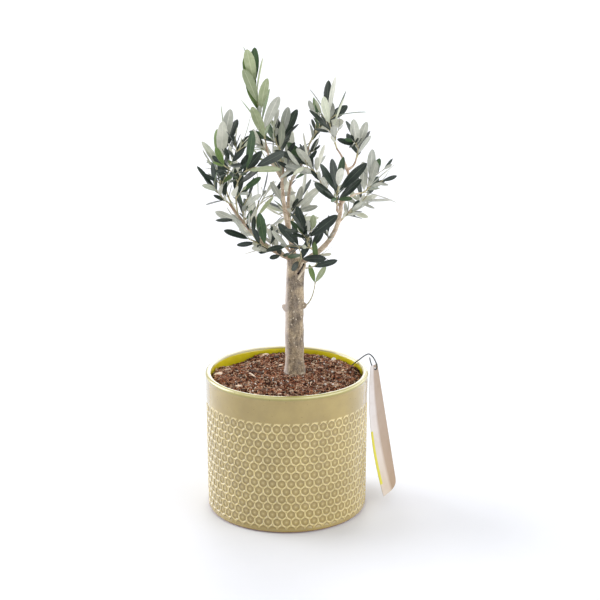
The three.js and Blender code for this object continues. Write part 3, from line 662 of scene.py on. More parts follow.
# The rings that follow the honeycomb upwards, over the rim and down to the pot's floor: radius, height, and
# the rim's colour there, from 0 on the plain wall through olive glaze, darkest on the rim's outer face as
# partly painted shade, to 1 for a pale line of painted highlight on an edge.
RIM_RINGS = [
    (None, 116, 0), (None, 123.6, 0), (None, 125.6, 0.15), (74.85, 126.7, 0.3), (75.0, 127.7, 0.4),
    (74.8, 128.8, 0.85), (74.1, 129.6, 0.6), (72.9, 130.0, 0.45), (71.9, 129.98, 1), (70.6, 129.4, 1),
    (69.9, 128.6, 0.55), (69.6, 127.9, 0), (69.5, 127.0, 0), (69.2, 122, 0), (68.9, 90, 0), (68.4, 40, 0),
    (68.0, 12, 0), (66.6, 9, 0), (63, 8, 0),
]
FOOT_RINGS = [(73.3, 1.1), (72.6, 0.4), (71.2, 0.0), (64, 0.0)]


def honeycomb_cell(pitch):
    """One cell, flat, with its corner up and its face to the front."""
    corner = pitch / math.sqrt(3)
    bpy.ops.mesh.primitive_circle_add(vertices=CELL_CORNERS, radius=corner * MM, fill_type="NGON",
                                      rotation=(math.pi / 2, 0, 0))
    cell = bpy.context.object
    bpy.ops.object.transform_apply(location=False, rotation=True, scale=False)
    for point in list(cell.data.vertices)[1::2]:
        point.co *= math.cos(math.pi / 6)
    open_mesh(cell, "ALL")
    for inset, depth, _, _ in CELL_CUTS:
        bpy.ops.mesh.inset(thickness=inset * MM, depth=depth * MM)
    bpy.ops.mesh.poke()
    close_mesh()
    points = points_of(cell)
    rises = np.full(len(points), 1.0)
    reach = np.hypot(points[:, 0], points[:, 2])
    sides = [(math.cos(a), math.sin(a)) for a in (0, math.pi / 3, 2 * math.pi / 3)]
    order = np.argsort(-np.max([np.abs(points[:, 0] * c + points[:, 2] * s) for c, s in sides], 0))
    for k, (_, _, roundness, rise) in enumerate(CELL_CUTS):
        ring = order[(k + 1) * CELL_CORNERS:(k + 2) * CELL_CORNERS]
        even = reach[ring].mean() / reach[ring]
        points[ring, 0] *= lerp(1, even, roundness)
        points[ring, 2] *= lerp(1, even, roundness)
        rises[ring] = rise
    rises[order[-1]] = CELL_DOME[1]
    corners = np.flatnonzero(reach > 0.99 * corner * MM)
    points[corners, 1] += CELL_DIMPLE[0] * MM
    rises[corners] = CELL_DIMPLE[1]
    points[order[-1], 1] -= CELL_DOME[0] * MM
    move_points(cell, points)
    give_values(cell, "rise", rises)
    return cell


def repeat(piece, count, offset):
    apply_modifier(piece, "ARRAY", count=count, use_relative_offset=False, use_constant_offset=True,
                   constant_offset_displace=[c * MM for c in offset])


def ring_up_to(radius, height, now):
    """Extrudes the open ring to a new radius and height."""
    now_radius, now_height = now
    bpy.ops.mesh.extrude_region_move(TRANSFORM_OT_translate={"value": (0, 0, (height - now_height) * MM)})
    share = radius / now_radius
    bpy.ops.transform.resize(value=(share, share, 1), center_override=(0, 0, 0))
    return radius, height


def flat_comb(pitch, row):
    """The comb before it is wrapped: a row of cells, a second one half a cell aside, then pairs of rows."""
    comb = honeycomb_cell(pitch)
    repeat(comb, COMB["columns"], (pitch, 0, 0))
    repeat(comb, 2, (-pitch / 2, 0, row))
    repeat(comb, (COMB["rows"] + 1) // 2, (0, 0, 2 * row))
    return comb


def wrap_comb(pot, pitch, row, crest):
    """Wraps the comb round the tapered wall. Its part row rises out of the plain foot."""
    flat = points_of(pot) / MM
    rise = values_of(pot, "rise")
    height = flat[:, 2] + COMB["lowest"] - row
    corner = np.abs(flat[:, 1] - CELL_DIMPLE[0]) < 0.01
    rise[corner & (height > crest - 0.2)] = TOP_POINTS
    rise[corner & (np.abs(height - crest + pitch / math.sqrt(3) / 2) < 0.2)] = TOP_NOTCHES
    raised = smooth_share(height, *COMB["fade"])
    turn = 2 * math.pi * POT["radius"]
    angle = (flat[:, 0] + pitch / 2) / turn * 2 * math.pi - math.pi / 2
    reach = wall_radius(height) - flat[:, 1] * raised
    move_points(pot, np.stack([reach * np.cos(angle), reach * np.sin(angle), height], 1) * MM)
    set_values(pot, "rise", lerp(0.5, rise, raised))


def close_pot(pot, crest):
    """Cuts the comb level at its foot, then draws its open edges out over the rim and in under the foot."""
    open_mesh(pot, "ALL")
    bpy.ops.mesh.remove_doubles(threshold=0.02 * MM)
    bpy.ops.mesh.select_all(action="SELECT")
    bpy.ops.mesh.bisect(plane_co=(0, 0, COMB["cut"] * MM), plane_no=(0, 0, 1), clear_inner=True)
    top = crest + COMB["clear"]
    middle = POT["height"] / 2 * MM
    for level, rings, test in ((top, RIM_RINGS, lambda c: c.z > middle),
                               (COMB["cut"], FOOT_RINGS, lambda c: c.z < middle)):
        bpy.ops.mesh.select_all(action="DESELECT")
        bpy.ops.mesh.select_non_manifold(use_wire=False, use_boundary=True, use_multi_face=False,
                                         use_non_contiguous=False, use_verts=False)
        keep_selected(pot, test)
        if level == top:
            bpy.ops.mesh.extrude_region_move(TRANSFORM_OT_translate={"value": (0, 0, 0)})
            bpy.ops.transform.resize(value=(1, 1, 0), center_override=(0, 0, level * MM))
        now = (wall_radius(level), level)
        for radius, height, *_ in rings:
            now = ring_up_to(radius or wall_radius(height), height, now)
        bpy.ops.mesh.edge_face_add()
        bpy.ops.mesh.poke()
    bpy.ops.mesh.select_all(action="SELECT")
    bpy.ops.mesh.normals_make_consistent(inside=False)
    close_mesh()


def glaze_pot(pot, crest):
    """Says how the glaze's colour runs at each point, with the rim's painted highlights and shade, and which
    faces are glazed outside, inside or not at all.
    """
    points = points_of(pot) / MM
    rise = values_of(pot, "rise")
    reach = np.hypot(points[:, 0], points[:, 1])
    level = points[:, 2]
    in_comb = (level < crest + 0.1) & (level > COMB["cut"] + 0.1) & (reach > POT["radius"] - 4)
    set_values(pot, "rise", np.where(in_comb, rise, 0.5))
    rim_glaze_and_painted_light = np.zeros(len(points))
    for radius, height, amount in RIM_RINGS:
        if radius:
            rim_glaze_and_painted_light[np.hypot(reach - radius, level - height) < 0.3] = amount
    give_values(pot, "rim_glaze_and_painted_light", rim_glaze_and_painted_light)
    khaki = glaze("glaze", tone(157, 135, 68), tone(173, 150, 80), tone(233, 213, 148))
    inner = glaze("glaze_inside", tone(230, 216, 30), tone(240, 226, 34), tone(240, 230, 150))
    for material in (khaki, inner, bare_clay()):
        pot.data.materials.append(material)
    for face in pot.data.polygons:
        centre = face.center
        if math.hypot(centre.x, centre.y) / MM < INNER_GLAZE and centre.z > POT["base"] * MM * 0.9:
            face.material_index = 1
        elif centre.z < BARE_FOOT * MM:
            face.material_index = 2


def build_pot():
    pitch = 2 * math.pi * POT["radius"] / COMB["columns"]
    row = pitch * math.sqrt(3) / 2
    crest = COMB["lowest"] + (COMB["rows"] - 1) * row + pitch / math.sqrt(3)
    pot = flat_comb(pitch, row)
    wrap_comb(pot, pitch, row, crest)
    close_pot(pot, crest)
    pot.name = "pot_glazed"
    glaze_pot(pot, crest)
    smooth(pot, 50)
    finish_piece(pot, "pot", "pot")


# ---------------------------------------------------------------- soil

def soil_height(x, y):
    away = np.hypot(x - TRUNK["root"][0], y - TRUNK["root"][1])
    slope = smooth_share(away, SOIL["seat"], POT["radius"] - POT["wall"])
    wave = np.sin(x / SOIL["wave"][0] + 1) * np.cos(y / SOIL["wave"][1])
    bumps = SOIL["bumps"] * wave * np.minimum(1, slope * 4)
    from_hollow = np.hypot(x - HOLLOW["at"][0], y - HOLLOW["at"][1])
    sunk = HOLLOW["deep"] * (1 - smooth_share(from_hollow, *HOLLOW["reach"]))
    return SOIL["level"] + SOIL["mound"] * (1 - slope) + bumps - sunk


SOIL_RINGS = 16


def build_soil_bed():
    """A closed round of compost: rings inset in its top face, a rough surface, and a short side below."""
    depth = 14
    bpy.ops.mesh.primitive_cylinder_add(vertices=120, radius=SOIL["edge"] * MM, depth=depth * MM,
                                        location=(0, 0, (SOIL["level"] - depth / 2) * MM))
    bed = bpy.context.object
    bed.name = "soil_bed"
    bpy.ops.object.transform_apply(location=True, rotation=False, scale=False)
    open_mesh(bed)
    bpy.ops.mesh.select_all(action="SELECT")
    keep_selected(bed, lambda c: c.z > (SOIL["level"] - 1) * MM)
    for _ in range(SOIL_RINGS):
        bpy.ops.mesh.inset(thickness=SOIL["edge"] / (SOIL_RINGS + 1) * MM, depth=0)
    bpy.ops.mesh.poke()
    close_mesh()
    apply_modifier(bed, "SUBSURF", subdivision_type="SIMPLE", levels=1, render_levels=1)
    points = points_of(bed) / MM
    top = points[:, 2] > SOIL["level"] - 1
    for i in np.flatnonzero(top):
        x, y, _ = points[i]
        lumps = rough(x / 4.2, y / 4.2, 3.1) * 1.5 + rough(x / 1.7, y / 1.7, 8.7) * 0.8
        points[i, 2] = soil_height(x, y) + lumps - 0.8
    move_points(bed, points * MM)
    bed.data.materials.append(compost())
    smooth(bed, 60)
    finish_piece(bed, "soil", "soil")


def lump_shape(subdivisions):
    """The points and faces of a small round lump, 1 across its radius."""
    bpy.ops.mesh.primitive_ico_sphere_add(subdivisions=subdivisions, radius=1)
    lump = bpy.context.object
    points = points_of(lump)
    faces = np.array([tuple(face.vertices) for face in lump.data.polygons])
    bpy.data.objects.remove(lump)
    return points, faces


def random_turn(chance):
    """A random rotation matrix."""
    a, b, c = (chance.uniform(0, 2 * math.pi) for _ in range(3))
    around_z = np.array([[math.cos(a), -math.sin(a), 0], [math.sin(a), math.cos(a), 0], [0, 0, 1]])
    around_x = np.array([[1, 0, 0], [0, math.cos(b), -math.sin(b)], [0, math.sin(b), math.cos(b)]])
    again = np.array([[math.cos(c), -math.sin(c), 0], [math.sin(c), math.cos(c), 0], [0, 0, 1]])
    return around_z @ around_x @ again


def on_soil(x, y, margin):
    """Whether a place is on the soil, clear of the pot's wall, the trunk and the wire."""
    in_pot = math.hypot(x, y) < SOIL["edge"] - margin
    off_trunk = math.hypot(x - TRUNK["root"][0], y - TRUNK["root"][1]) > TRUNK["thick"][0] / 2 + 1.6
    off_wire = math.hypot(x - WIRE["route"][0][0], y - WIRE["route"][0][1]) > 1.5
    return in_pot and off_trunk and off_wire


class Heap:
    """Many small things that become one joined mesh, each with its own shade."""

    def __init__(self):
        self.points, self.faces, self.shades, self.count = [], [], [], 0

    def add(self, points, faces, shade):
        self.points.append(points)
        self.faces += [[i + self.count for i in face] for face in faces]
        self.shades.append(np.full(len(points), shade))
        self.count += len(points)

    def piece(self, name, material, degrees):
        piece = mesh_piece(name, np.concatenate(self.points), self.faces)
        give_values(piece, "shade", np.concatenate(self.shades))
        piece.data.materials.append(material)
        smooth(piece, degrees)
        return piece


def scatter(chance, spacing, jitter, margin):
    """Places over the soil on a shaken grid."""
    steps = int(2 * SOIL["edge"] / spacing)
    for i in range(steps):
        for j in range(steps):
            x = (i + 0.5 * (j % 2)) * spacing - SOIL["edge"] + chance.uniform(-jitter, jitter)
            y = j * spacing - SOIL["edge"] + chance.uniform(-jitter, jitter)
            if on_soil(x, y, margin):
                yield x, y


def build_crumbs():
    chance = random.Random(11)
    shape, faces = lump_shape(1)
    heap = Heap()
    for x, y in scatter(chance, 1.75, 0.85, 1.2):
        size = chance.uniform(0.6, 0.95) * chance.choice((0.7, 0.95, 0.95, 1.5))
        stretch = np.array([chance.uniform(*reach) for reach in ((0.7, 1.6), (0.6, 1.1), (0.5, 0.9))]) * size
        uneven = np.array([chance.uniform(0.7, 1.25) for _ in shape])[:, None]
        seat = np.array([x, y, soil_height(x, y) + chance.uniform(-0.5, 0.9)])
        heap.add((shape * uneven * stretch) @ random_turn(chance).T + seat, faces, chance.random() ** 1.2)
    brown = crumb("soil_crumbs", tone(34, 14, 8), tone(206, 128, 86), tone(255, 226, 190))
    finish_piece(heap.piece("soil_crumbs", brown, 30), "soil")


# A fibre's length, turn, bend and thickness, each from the least to the most.
FIBRE = [(3.5, 11), (0, 2 * math.pi), (-0.9, 0.9), (0.16, 0.34)]


def build_fibres():
    """Coir fibres and root hairs: three-sided threads that lie bent over the crumbs."""
    chance = random.Random(12)
    heap = Heap()
    for x, y in scatter(chance, 3.6, 1.8, 3.5):
        length, turn, bend, thick = (chance.uniform(*reach) for reach in FIBRE)
        steps = 5
        rings = []
        for k in range(steps + 1):
            share = k / steps
            way = turn + bend * (share - 0.5) * 2
            along = (share - 0.5) * length
            px, py = x + along * math.cos(way), y + along * math.sin(way)
            out, edge = math.hypot(px, py), SOIL["edge"] - 1
            if out > edge:
                px, py = px * edge / out, py * edge / out
            lift = 0.8 + 0.9 * math.sin(math.pi * share) * chance.uniform(0.5, 1.4)
            centre = np.array([px, py, soil_height(px, py) + lift])
            across = np.array([-math.sin(way), math.cos(way), 0])
            up = np.array([0, 0, 1])
            rings.append([centre + thick * (across * math.cos(a) + up * math.sin(a))
                          for a in (0.5, 2.6, 4.7)])
        faces = [(0, 1, 2), (3 * steps + 2, 3 * steps + 1, 3 * steps)]
        faces += [(b, a, d, c) for a, b, c, d in ring_faces(steps + 1, 3)]
        heap.add(np.array(rings).reshape(-1, 3), faces, chance.random())
    coir = crumb("soil_fibres", tone(112, 60, 40), tone(222, 152, 112), tone(255, 238, 210), 0.8)
    finish_piece(heap.piece("soil_fibres", coir, 80), "soil")


# Larger chips of bark and wood that lie on the soil: x, y, length, width, turn in degrees, and shade from 0,
# dark, to 1, pale.
CHIPS = [
    (-29, 6, 16, 7, -8, 0.06), (-11, 49, 14, 6, -60, 0.05), (-63, 2, 8, 6, 20, 0.97),
    (-21, 58, 7, 4, 15, 0.9), (-50, 29, 7, 4, -60, 0.9), (-43, -33, 7.5, 4.5, -25, 0.95),
    (-32, -4, 11, 2, -50, 0.95), (-6, 25, 5, 3.4, 30, 0.92),
    (30, -26, 7, 3, 20, 0.6), (48, 12, 6, 3, -30, 0.5), (-26, -40, 7, 3, 50, 0.5), (20, 44, 8, 4, 10, 0.12),
    (12, -52, 7, 3, -12, 0.3), (44, -34, 6, 3, 30, 0.7), (-4, -38, 6, 3, -50, 0.4), (36, 22, 7, 4, 60, 0.2),
    (-54, 12, 9, 1.8, 35, 0.8), (-36, 46, 10, 1.6, -35, 0.75), (56, -12, 7, 3, 75, 0.25),
]


CHIP_LAYERS = [(-0.5, 0.86), (-0.1, 1.0), (0.25, 0.97), (0.5, 0.74)]    # height and spread, as shares


def chip_slab(chance, x, y, length, width, turn, thick):
    """A flat splinter with a ragged outline and a smaller top than bottom."""
    corners = 9
    outline = []
    for k in range(corners):
        a = 2 * math.pi * k / corners
        ragged = chance.uniform(0.78, 1.12)
        outline.append((math.cos(a) * length / 2 * ragged, math.sin(a) * width / 2 * ragged))
    tilt = chance.uniform(-0.18, 0.18)
    cos, sin = math.cos(math.radians(turn)), math.sin(math.radians(turn))
    seat = soil_height(x, y) + 1.3
    points = []
    for level, spread in CHIP_LAYERS:
        for px, py in outline:
            across = (px * spread * cos - py * spread * sin, px * spread * sin + py * spread * cos)
            points.append((x + across[0], y + across[1], seat + level * thick + tilt * px))
    faces = [tuple(reversed(range(corners))), tuple(range(3 * corners, 4 * corners))]
    return np.array(points), faces + ring_faces(len(CHIP_LAYERS), corners)


def build_chips():
    chance = random.Random(13)
    heap = Heap()
    for x, y, length, width, turn, shade in CHIPS:
        heap.add(*chip_slab(chance, x, y, length, width, turn, 1.5), shade)
    for x, y in scatter(chance, 8.5, 3.4, 4):
        length = chance.uniform(2.6, 5.5)
        width, turn = length * chance.uniform(0.3, 0.7), chance.uniform(0, 180)
        heap.add(*chip_slab(chance, x, y, length, width, turn, 0.9), chance.random() ** 1.6 * 0.9)
    wood = crumb("soil_chips", tone(54, 40, 32), tone(160, 112, 82), tone(255, 236, 214), 0.8, 0)
    finish_piece(heap.piece("soil_chips", wood, 35), "soil")


# Beads of white perlite: x, y and radius. Specks of it lie between them.
PERLITE = [
    (44, 41, 2.3), (-28, -28, 1.0), (-5, -25, 0.9), (42, 4, 1.05), (35, -29, 1.1), (42, -31, 1.1),
    (-12, -13, 0.8), (-18, 14, 0.8), (15, -7, 0.75), (34, -10, 0.7), (20, -24, 0.7), (-46, 10, 0.7),
    (-30, -44, 0.9), (4, 36, 0.7),
]


def build_perlite():
    chance = random.Random(14)
    shape, faces = lump_shape(2)
    heap = Heap()
    specks = [(x, y, chance.uniform(0.35, 0.75)) for x, y in scatter(chance, 9.5, 4.2, 3)]
    for x, y, size in PERLITE + specks:
        turn = random_turn(chance)
        uneven = [1 + 0.28 * noise.noise(Vector(p * 1.7) + Vector((x, y, 0))) for p in shape]
        flattened = shape * np.array(uneven)[:, None] * size * np.array([1.15, 0.95, 0.8])
        seat = np.array([x, y, soil_height(x, y) + 0.7 + 0.5 * size])
        heap.add(flattened @ turn.T + seat, faces, chance.random())
    white = crumb("perlite", tone(240, 232, 222), tone(252, 248, 242), tone(255, 254, 250), 0.9, 0)
    finish_piece(heap.piece("soil_perlite", white, 60), "soil")


# ---------------------------------------------------------------- limbs and the growth rule

class Limb:
    """A tapering limb on a smooth bent centre line, in millimetres."""

    pieces = 8

    def __init__(self, root, through, tip, thick, stem=None):
        self.root, self.tip = np.array(root, float), np.array(tip, float)
        self.bend = 2 * np.array(through, float) - (self.root + self.tip) / 2
        self.thick = thick
        self.stem = stem

    def point(self, t):
        return self.root * (1 - t) ** 2 + self.bend * (2 * t * (1 - t)) + self.tip * (t * t)

    def heading(self, t):
        return unit((self.bend - self.root) * (1 - t) + (self.tip - self.bend) * t)

    def radius(self, t):
        return lerp(self.thick[0], self.thick[1], t) / 2

    def length(self):
        return float(np.linalg.norm(self.tip - self.root))

    def line(self):
        return np.array([self.point(i / Limb.pieces) for i in range(Limb.pieces + 1)])


class Chance:
    """The plain seeded numbers that the plant's solids are grown with."""

    def __init__(self, seed):
        self.state = seed * 7919 % 2147483647

    def __call__(self):
        self.state = self.state * 48271 % 2147483647
        return self.state / 2147483647


class Leaf:
    def __init__(self, base, heading, face, length, curl, mass):
        self.base, self.heading, self.face, self.length, self.curl = base, heading, face, length, curl
        self.side = np.cross(heading, face)
        self.mass = mass
        self.small = False

    def half_width(self, t):
        """A thin stalk, then a long blunt oval."""
        stalk = LEAF["petiole_wide"] / 2
        s = (t - LEAF["petiole"]) / (1 - LEAF["petiole"])
        if s <= 0:
            return stalk
        if s >= 1:
            return 0.0
        return stalk + LEAF["slim"] / 2 * self.length * math.sin(math.pi * s ** 0.92) ** 0.62

    def midrib(self, t):
        ahead = self.heading * (self.length * t * (1 - 0.2 * self.curl * t * t))
        return self.base + ahead - self.face * (self.length * self.curl * t * t * 0.5)

    def samples(self):
        rows = max(6, math.floor(self.length / RULE["step"]))
        across = 2 * np.arange(RULE["across"] + 1) / RULE["across"] - 1
        return np.array([self.midrib(t) + np.outer(across * self.half_width(t), self.side)
                         for t in (np.arange(rows) + 1) / rows])


class Crown:
    """The limbs and blades that are already there, which new ones keep clear of."""

    def __init__(self):
        self.limbs, self.starts, self.runs, self.radii, self.blades = [], [], [], [], []

    def add_limb(self, limb):
        line = limb.line()
        self.limbs.append(limb)
        self.starts.append(line[:-1])
        self.runs.append(line[1:] - line[:-1])
        self.radii.append([limb.radius(i / Limb.pieces) for i in range(Limb.pieces)])

    def gaps(self, points):
        """How far the nearest of some points lies from each limb's bark, a row for each point."""
        starts, runs = np.concatenate(self.starts), np.concatenate(self.runs)
        away = points[:, None, :] - starts[None]
        share = np.clip((away * runs).sum(2) / (runs * runs).sum(1), 0, 1)
        gap = np.linalg.norm(away - share[:, :, None] * runs, axis=2) - np.concatenate(self.radii)
        return gap.reshape(len(points), len(self.limbs), Limb.pieces).min(2)

    def owned(self, stem):
        return np.array([limb is stem or limb.stem is stem for limb in self.limbs])

    def has_room(self, leaf, stem, ease=1.0):
        rows = leaf.samples()
        every = rows.reshape(-1, 3)
        beyond = rows[math.floor(len(rows) * 0.3):].reshape(-1, 3)
        outer = rows[math.floor(len(rows) * 0.35):].reshape(-1, 3)
        own = self.owned(stem)
        if self.gaps(every)[:, ~own].min() < RULE["limb_gap"] * ease:
            return False
        if self.gaps(beyond)[:, own].min() < RULE["stem_gap"] * ease:
            return False
        centre = every.mean(0)
        reach = np.linalg.norm(every - centre, axis=1).max()
        for points, other_centre, other_reach, other_stem in self.blades:
            if np.linalg.norm(centre - other_centre) > reach + other_reach + RULE["leaf_gap"]:
                continue
            mine = other_stem is stem
            gap = (RULE["own_gap"] if mine else RULE["leaf_gap"]) * ease
            if nearer(outer if mine else every, points, gap):
                return False
        self.blades.append((every, centre, reach, stem))
        return True


def nearer(some, others, gap):
    away = some[:, None, :] - others[None]
    return bool(((away * away).sum(2) < gap * gap).any())


def outward_from(heading, turn):
    """The direction square to a heading that is turned about it by so much."""
    across = unit(np.cross(heading, (0, 1, 0)))
    return across * math.cos(turn) + np.cross(heading, across) * math.sin(turn)


def grow_pairs(crown, twig, shoot, stem, plan, chance, ease=1.0, box=None):
    leaves = []
    for i in range(plan["pairs"]):
        share = i / (plan["pairs"] - 1) if plan["pairs"] > 1 else 1
        t = lerp(plan["first"], 1, share)
        heading = twig.heading(t)
        turn = math.radians(plan["roll"] + RULE["turn"] * i + (chance() - 0.5) * RULE["roll"])
        outward = outward_from(heading, turn)
        size = (RULE["small"] + RULE["swell"] * math.sin(math.pi * (0.15 + 0.7 * share))) * plan["leaf"]
        for side in (1, -1):
            usual = shoot["spread"] * (RULE["low"] - RULE["closing"] * share)
            spread = math.radians(usual + (chance() - 0.5) * RULE["sway"])
            lean = heading * math.cos(spread) + outward * (side * math.sin(spread))
            lean = unit(lean + np.array([0, 0, RULE["lift"]]))
            inward = unit(heading - lean * lean.dot(heading))
            twist = math.radians((chance() - 0.5) * RULE["twist"])
            face = inward * math.cos(twist) + np.cross(lean, inward) * math.sin(twist)
            length = size * (RULE["shortest"] + RULE["longer"] * chance())
            curl = RULE["flattest"] + RULE["curlier"] * chance()
            leaf = Leaf(twig.point(t), lean, face, length, curl, shoot["name"])
            if (box is None or within(leaf, box)) and crown.has_room(leaf, stem, ease):
                leaves.append(leaf)
    return leaves


def within(leaf, box):
    """Whether a leaf stays inside its mass's solid box."""
    points = leaf.samples().reshape(-1, 3)
    return bool((points.min(0) > box[0]).all() and (points.max(0) < box[1]).all())


def side_twig(crown, stem, chance):
    t = TWIG["lowest"] + TWIG["range"] * chance()
    heading = stem.heading(t)
    outward = outward_from(heading, 2 * math.pi * chance())
    lean = unit(heading * TWIG["ahead"] + outward * TWIG["aside"])
    length = stem.length() * (TWIG["shortest"] + TWIG["longer"] * chance())
    root = stem.point(t)
    through = root + lean * length / 2 + heading * length * TWIG["bow"]
    twig = Limb(root, through, root + lean * length, TWIG["thick"], stem)
    line = twig.line()
    if crown.gaps(line[2:])[:, ~crown.owned(stem)].min() < RULE["twig_gap"]:
        return None
    if any(blade[3] is not stem and nearer(line, blade[0], RULE["leaf_gap"]) for blade in crown.blades):
        return None
    return twig


def grow_shoot(crown, shoot, stem):
    chance = Chance(shoot["seed"])
    roll = 360 * chance()
    leaves = grow_pairs(crown, stem, shoot, stem, {**shoot, "roll": roll}, chance)
    twigs = []
    for _ in range(shoot["sides"]):
        twig = side_twig(crown, stem, chance)
        if twig is None:
            continue
        crown.add_limb(twig)
        twigs.append(twig)
        plan = {"pairs": TWIG["pairs"], "first": TWIG["first"], "leaf": shoot["leaf"] * TWIG["leaf"],
                "roll": roll + TWIG["turn"]}
        leaves += grow_pairs(crown, twig, shoot, stem, plan, chance)
    return twigs, leaves


def grow_plant():
    """Every limb, twig and leaf of the plant, as plans."""
    limbs = {"trunk": Limb(TRUNK["root"], TRUNK["through"], TRUNK["tip"], TRUNK["thick"])}
    for name, parent, at, through, tip, thick in BOUGHS:
        limbs[name] = Limb(limbs[parent].point(at), through, tip, thick)
    fields = ("name", "on", "at", "through", "tip", "pairs", "leaf", "spread", "first", "sides", "seed")
    shoots = [dict(zip(fields, row)) for row in SHOOTS]
    stems = [Limb(limbs[s["on"]].point(s["at"]), s["through"], s["tip"], STEM_THICK) for s in shoots]
    crown = Crown()
    for limb in [*limbs.values(), *stems]:
        crown.add_limb(limb)
    twigs, leaves = [], []
    for shoot, stem in zip(shoots, stems):
        more_twigs, more_leaves = grow_shoot(crown, shoot, stem)
        twigs += [(shoot["name"], stem, stem), *[(shoot["name"], twig, stem) for twig in more_twigs]]
        leaves += more_leaves
    bases = [(mass, limb, stem, mass_box(mass)) for mass, limb, stem in twigs if mass not in SPURLESS]
    whole = tuple(np.array(corner) / MM for corner in cad_box)
    bases += [(s["name"], limbs[s["on"]], limbs[s["on"]], whole) for s in shoots if s["on"] in LEAFY_BOUGHS]
    fine_twigs, fine_leaves = grow_fine(crown, bases, {shoot["name"]: shoot for shoot in shoots})
    twigs += fine_twigs
    leaves += fine_leaves
    leaves += grow_tips(crown, twigs)
    turn_side_shoot(leaves)
    return limbs, twigs, leaves


# Finer twigs than the solids hold: how many are tried on each stem, twig and leafy bough, where along it, how
# long and thick they are, their leaves, and how much nearer than on the stems the leaves may crowd.
FINE = {
    "tries": 3, "lowest": 0.1, "range": 0.7, "shortest": 7, "longest": 15, "thick": (0.85, 0.6), "gap": 0.9,
    "pairs": 2, "first": 0.5, "leaf": (13, 21), "ease": 0.62, "beyond": 1.5,
}
LEAFY_BOUGHS = ("right", "centre", "centre_twin", "left", "mid", "upper_right", "inner_right", "right_low",
                "tall")
SPURLESS = ("front", "low_front_right", "side_shoot")      # masses with no finer growth but at their tips

# The small leaves at a twig's tip and in its axils: their lengths, how far they spread, the share of axils
# that have them, how much their spread and curl change, and how near they may crowd.
TIP = {
    "leaf": (5, 9), "spread": 16, "spurs": 0.5, "spur_leaf": (9, 15), "spur_spread": 38, "sway": 10,
    "curl": (0.05, 0.1), "ease": 0.6,
}


def fine_twig(crown, limb, stem, chance):
    t = FINE["lowest"] + FINE["range"] * chance()
    heading = limb.heading(t)
    outward = outward_from(heading, 2 * math.pi * chance())
    lean = unit(heading * TWIG["ahead"] + outward * TWIG["aside"] + np.array([0, 0, RULE["lift"]]))
    length = lerp(FINE["shortest"], FINE["longest"], chance())
    root = limb.point(t)
    twig = Limb(root, root + lean * length / 2 + heading * length * TWIG["bow"], root + lean * length,
                FINE["thick"], stem)
    line = twig.line()[3:]
    if crown.gaps(line)[:, ~crown.owned(stem)].min() < FINE["gap"]:
        return None
    if any(nearer(line, blade[0], FINE["gap"]) for blade in crown.blades):
        return None
    return twig


def mass_box(mass):
    low, high = (np.array(corner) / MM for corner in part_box(f"foliage_{mass}"))
    return low - FINE["beyond"], high + FINE["beyond"]


def grow_fine(crown, bases, shoots):
    """The next branching by the same rule, inside the reach of each mass."""
    chance = Chance(17)
    found, leaves = [], []
    for mass, limb, stem, box in bases:
        for _ in range(FINE["tries"]):
            twig = fine_twig(crown, limb, stem, chance)
            size = lerp(*FINE["leaf"], chance())
            if twig is None:
                continue
            plan = {"pairs": FINE["pairs"], "first": FINE["first"], "leaf": size, "roll": 360 * chance()}
            new = grow_pairs(crown, twig, shoots[mass], stem, plan, chance, FINE["ease"], box)
            if not new:
                continue
            for leaf in new:
                leaf.small = True
            crown.add_limb(twig)
            found.append((mass, twig, stem))
            leaves += new
    return found, leaves


def turn_side_shoot(leaves):
    """The low shoot's two leaves: the left one shows its upper side to the front, the right one its edge."""
    pair = [leaf for leaf in leaves if leaf.mass == "side_shoot" and leaf.length > TIP["leaf"][1]]
    for leaf in pair:
        front = np.array([0, -1, 0]) if leaf.heading[0] < 0.2 else np.array([0.5, 1, 0.6])
        leaf.face = unit(front - leaf.heading * leaf.heading.dot(front))
        leaf.side = np.cross(leaf.heading, leaf.face)


def grow_tips(crown, twigs):
    """The finer growth: a pair of small leaves folded round each tip, and small leaves in some axils."""
    chance = Chance(5)
    leaves = []
    for mass, twig, stem in twigs:
        for t in (1.0, 0.45, 0.15):
            if t < 1 and (chance() > TIP["spurs"] or mass in SPURLESS):
                continue
            kind = "" if t == 1 else "spur_"
            lengths, spread = TIP[kind + "leaf"], TIP[kind + "spread"]
            heading = twig.heading(t)
            outward = outward_from(heading, 2 * math.pi * chance())
            for side in (1, -1):
                open_by = math.radians(spread + (chance() - 0.5) * TIP["sway"])
                lean = unit(heading * math.cos(open_by) + outward * (side * math.sin(open_by)))
                face = unit(heading - lean * lean.dot(heading))
                length = lerp(*lengths, chance())
                curl = TIP["curl"][0] + TIP["curl"][1] * chance()
                leaf = Leaf(twig.point(t), lean, face, length, curl, mass)
                leaf.small = True
                if crown.has_room(leaf, stem, TIP["ease"]):
                    leaves.append(leaf)
    return leaves


# ---------------------------------------------------------------- trunk and boughs

def tube(name, centres, radii, sides):
    """A round bar through some points, made as a bevelled curve and turned into a mesh."""
    curve = bpy.data.curves.new(name, "CURVE")
    curve.dimensions = "3D"
    curve.bevel_depth = MM
    curve.bevel_resolution = sides // 4
    curve.use_fill_caps = True
    spline = curve.splines.new("POLY")
    spline.points.add(len(centres) - 1)
    for point, centre, radius in zip(spline.points, centres, radii):
        point.co = (*(np.array(centre) * MM), 1)
        point.radius = radius
    piece = bpy.data.objects.new(name, curve)
    bpy.context.scene.collection.objects.link(piece)
    take(piece)
    bpy.ops.object.convert(target="MESH")
    return bpy.context.object


def fuse(pieces, name, voxel):
    """Joins overlapping bars into one skin with soft crotches."""
    piece = join(pieces, name)
    apply_modifier(piece, "REMESH", mode="VOXEL", voxel_size=voxel * MM)
    apply_modifier(piece, "SMOOTH", factor=0.5, iterations=3)
    return piece


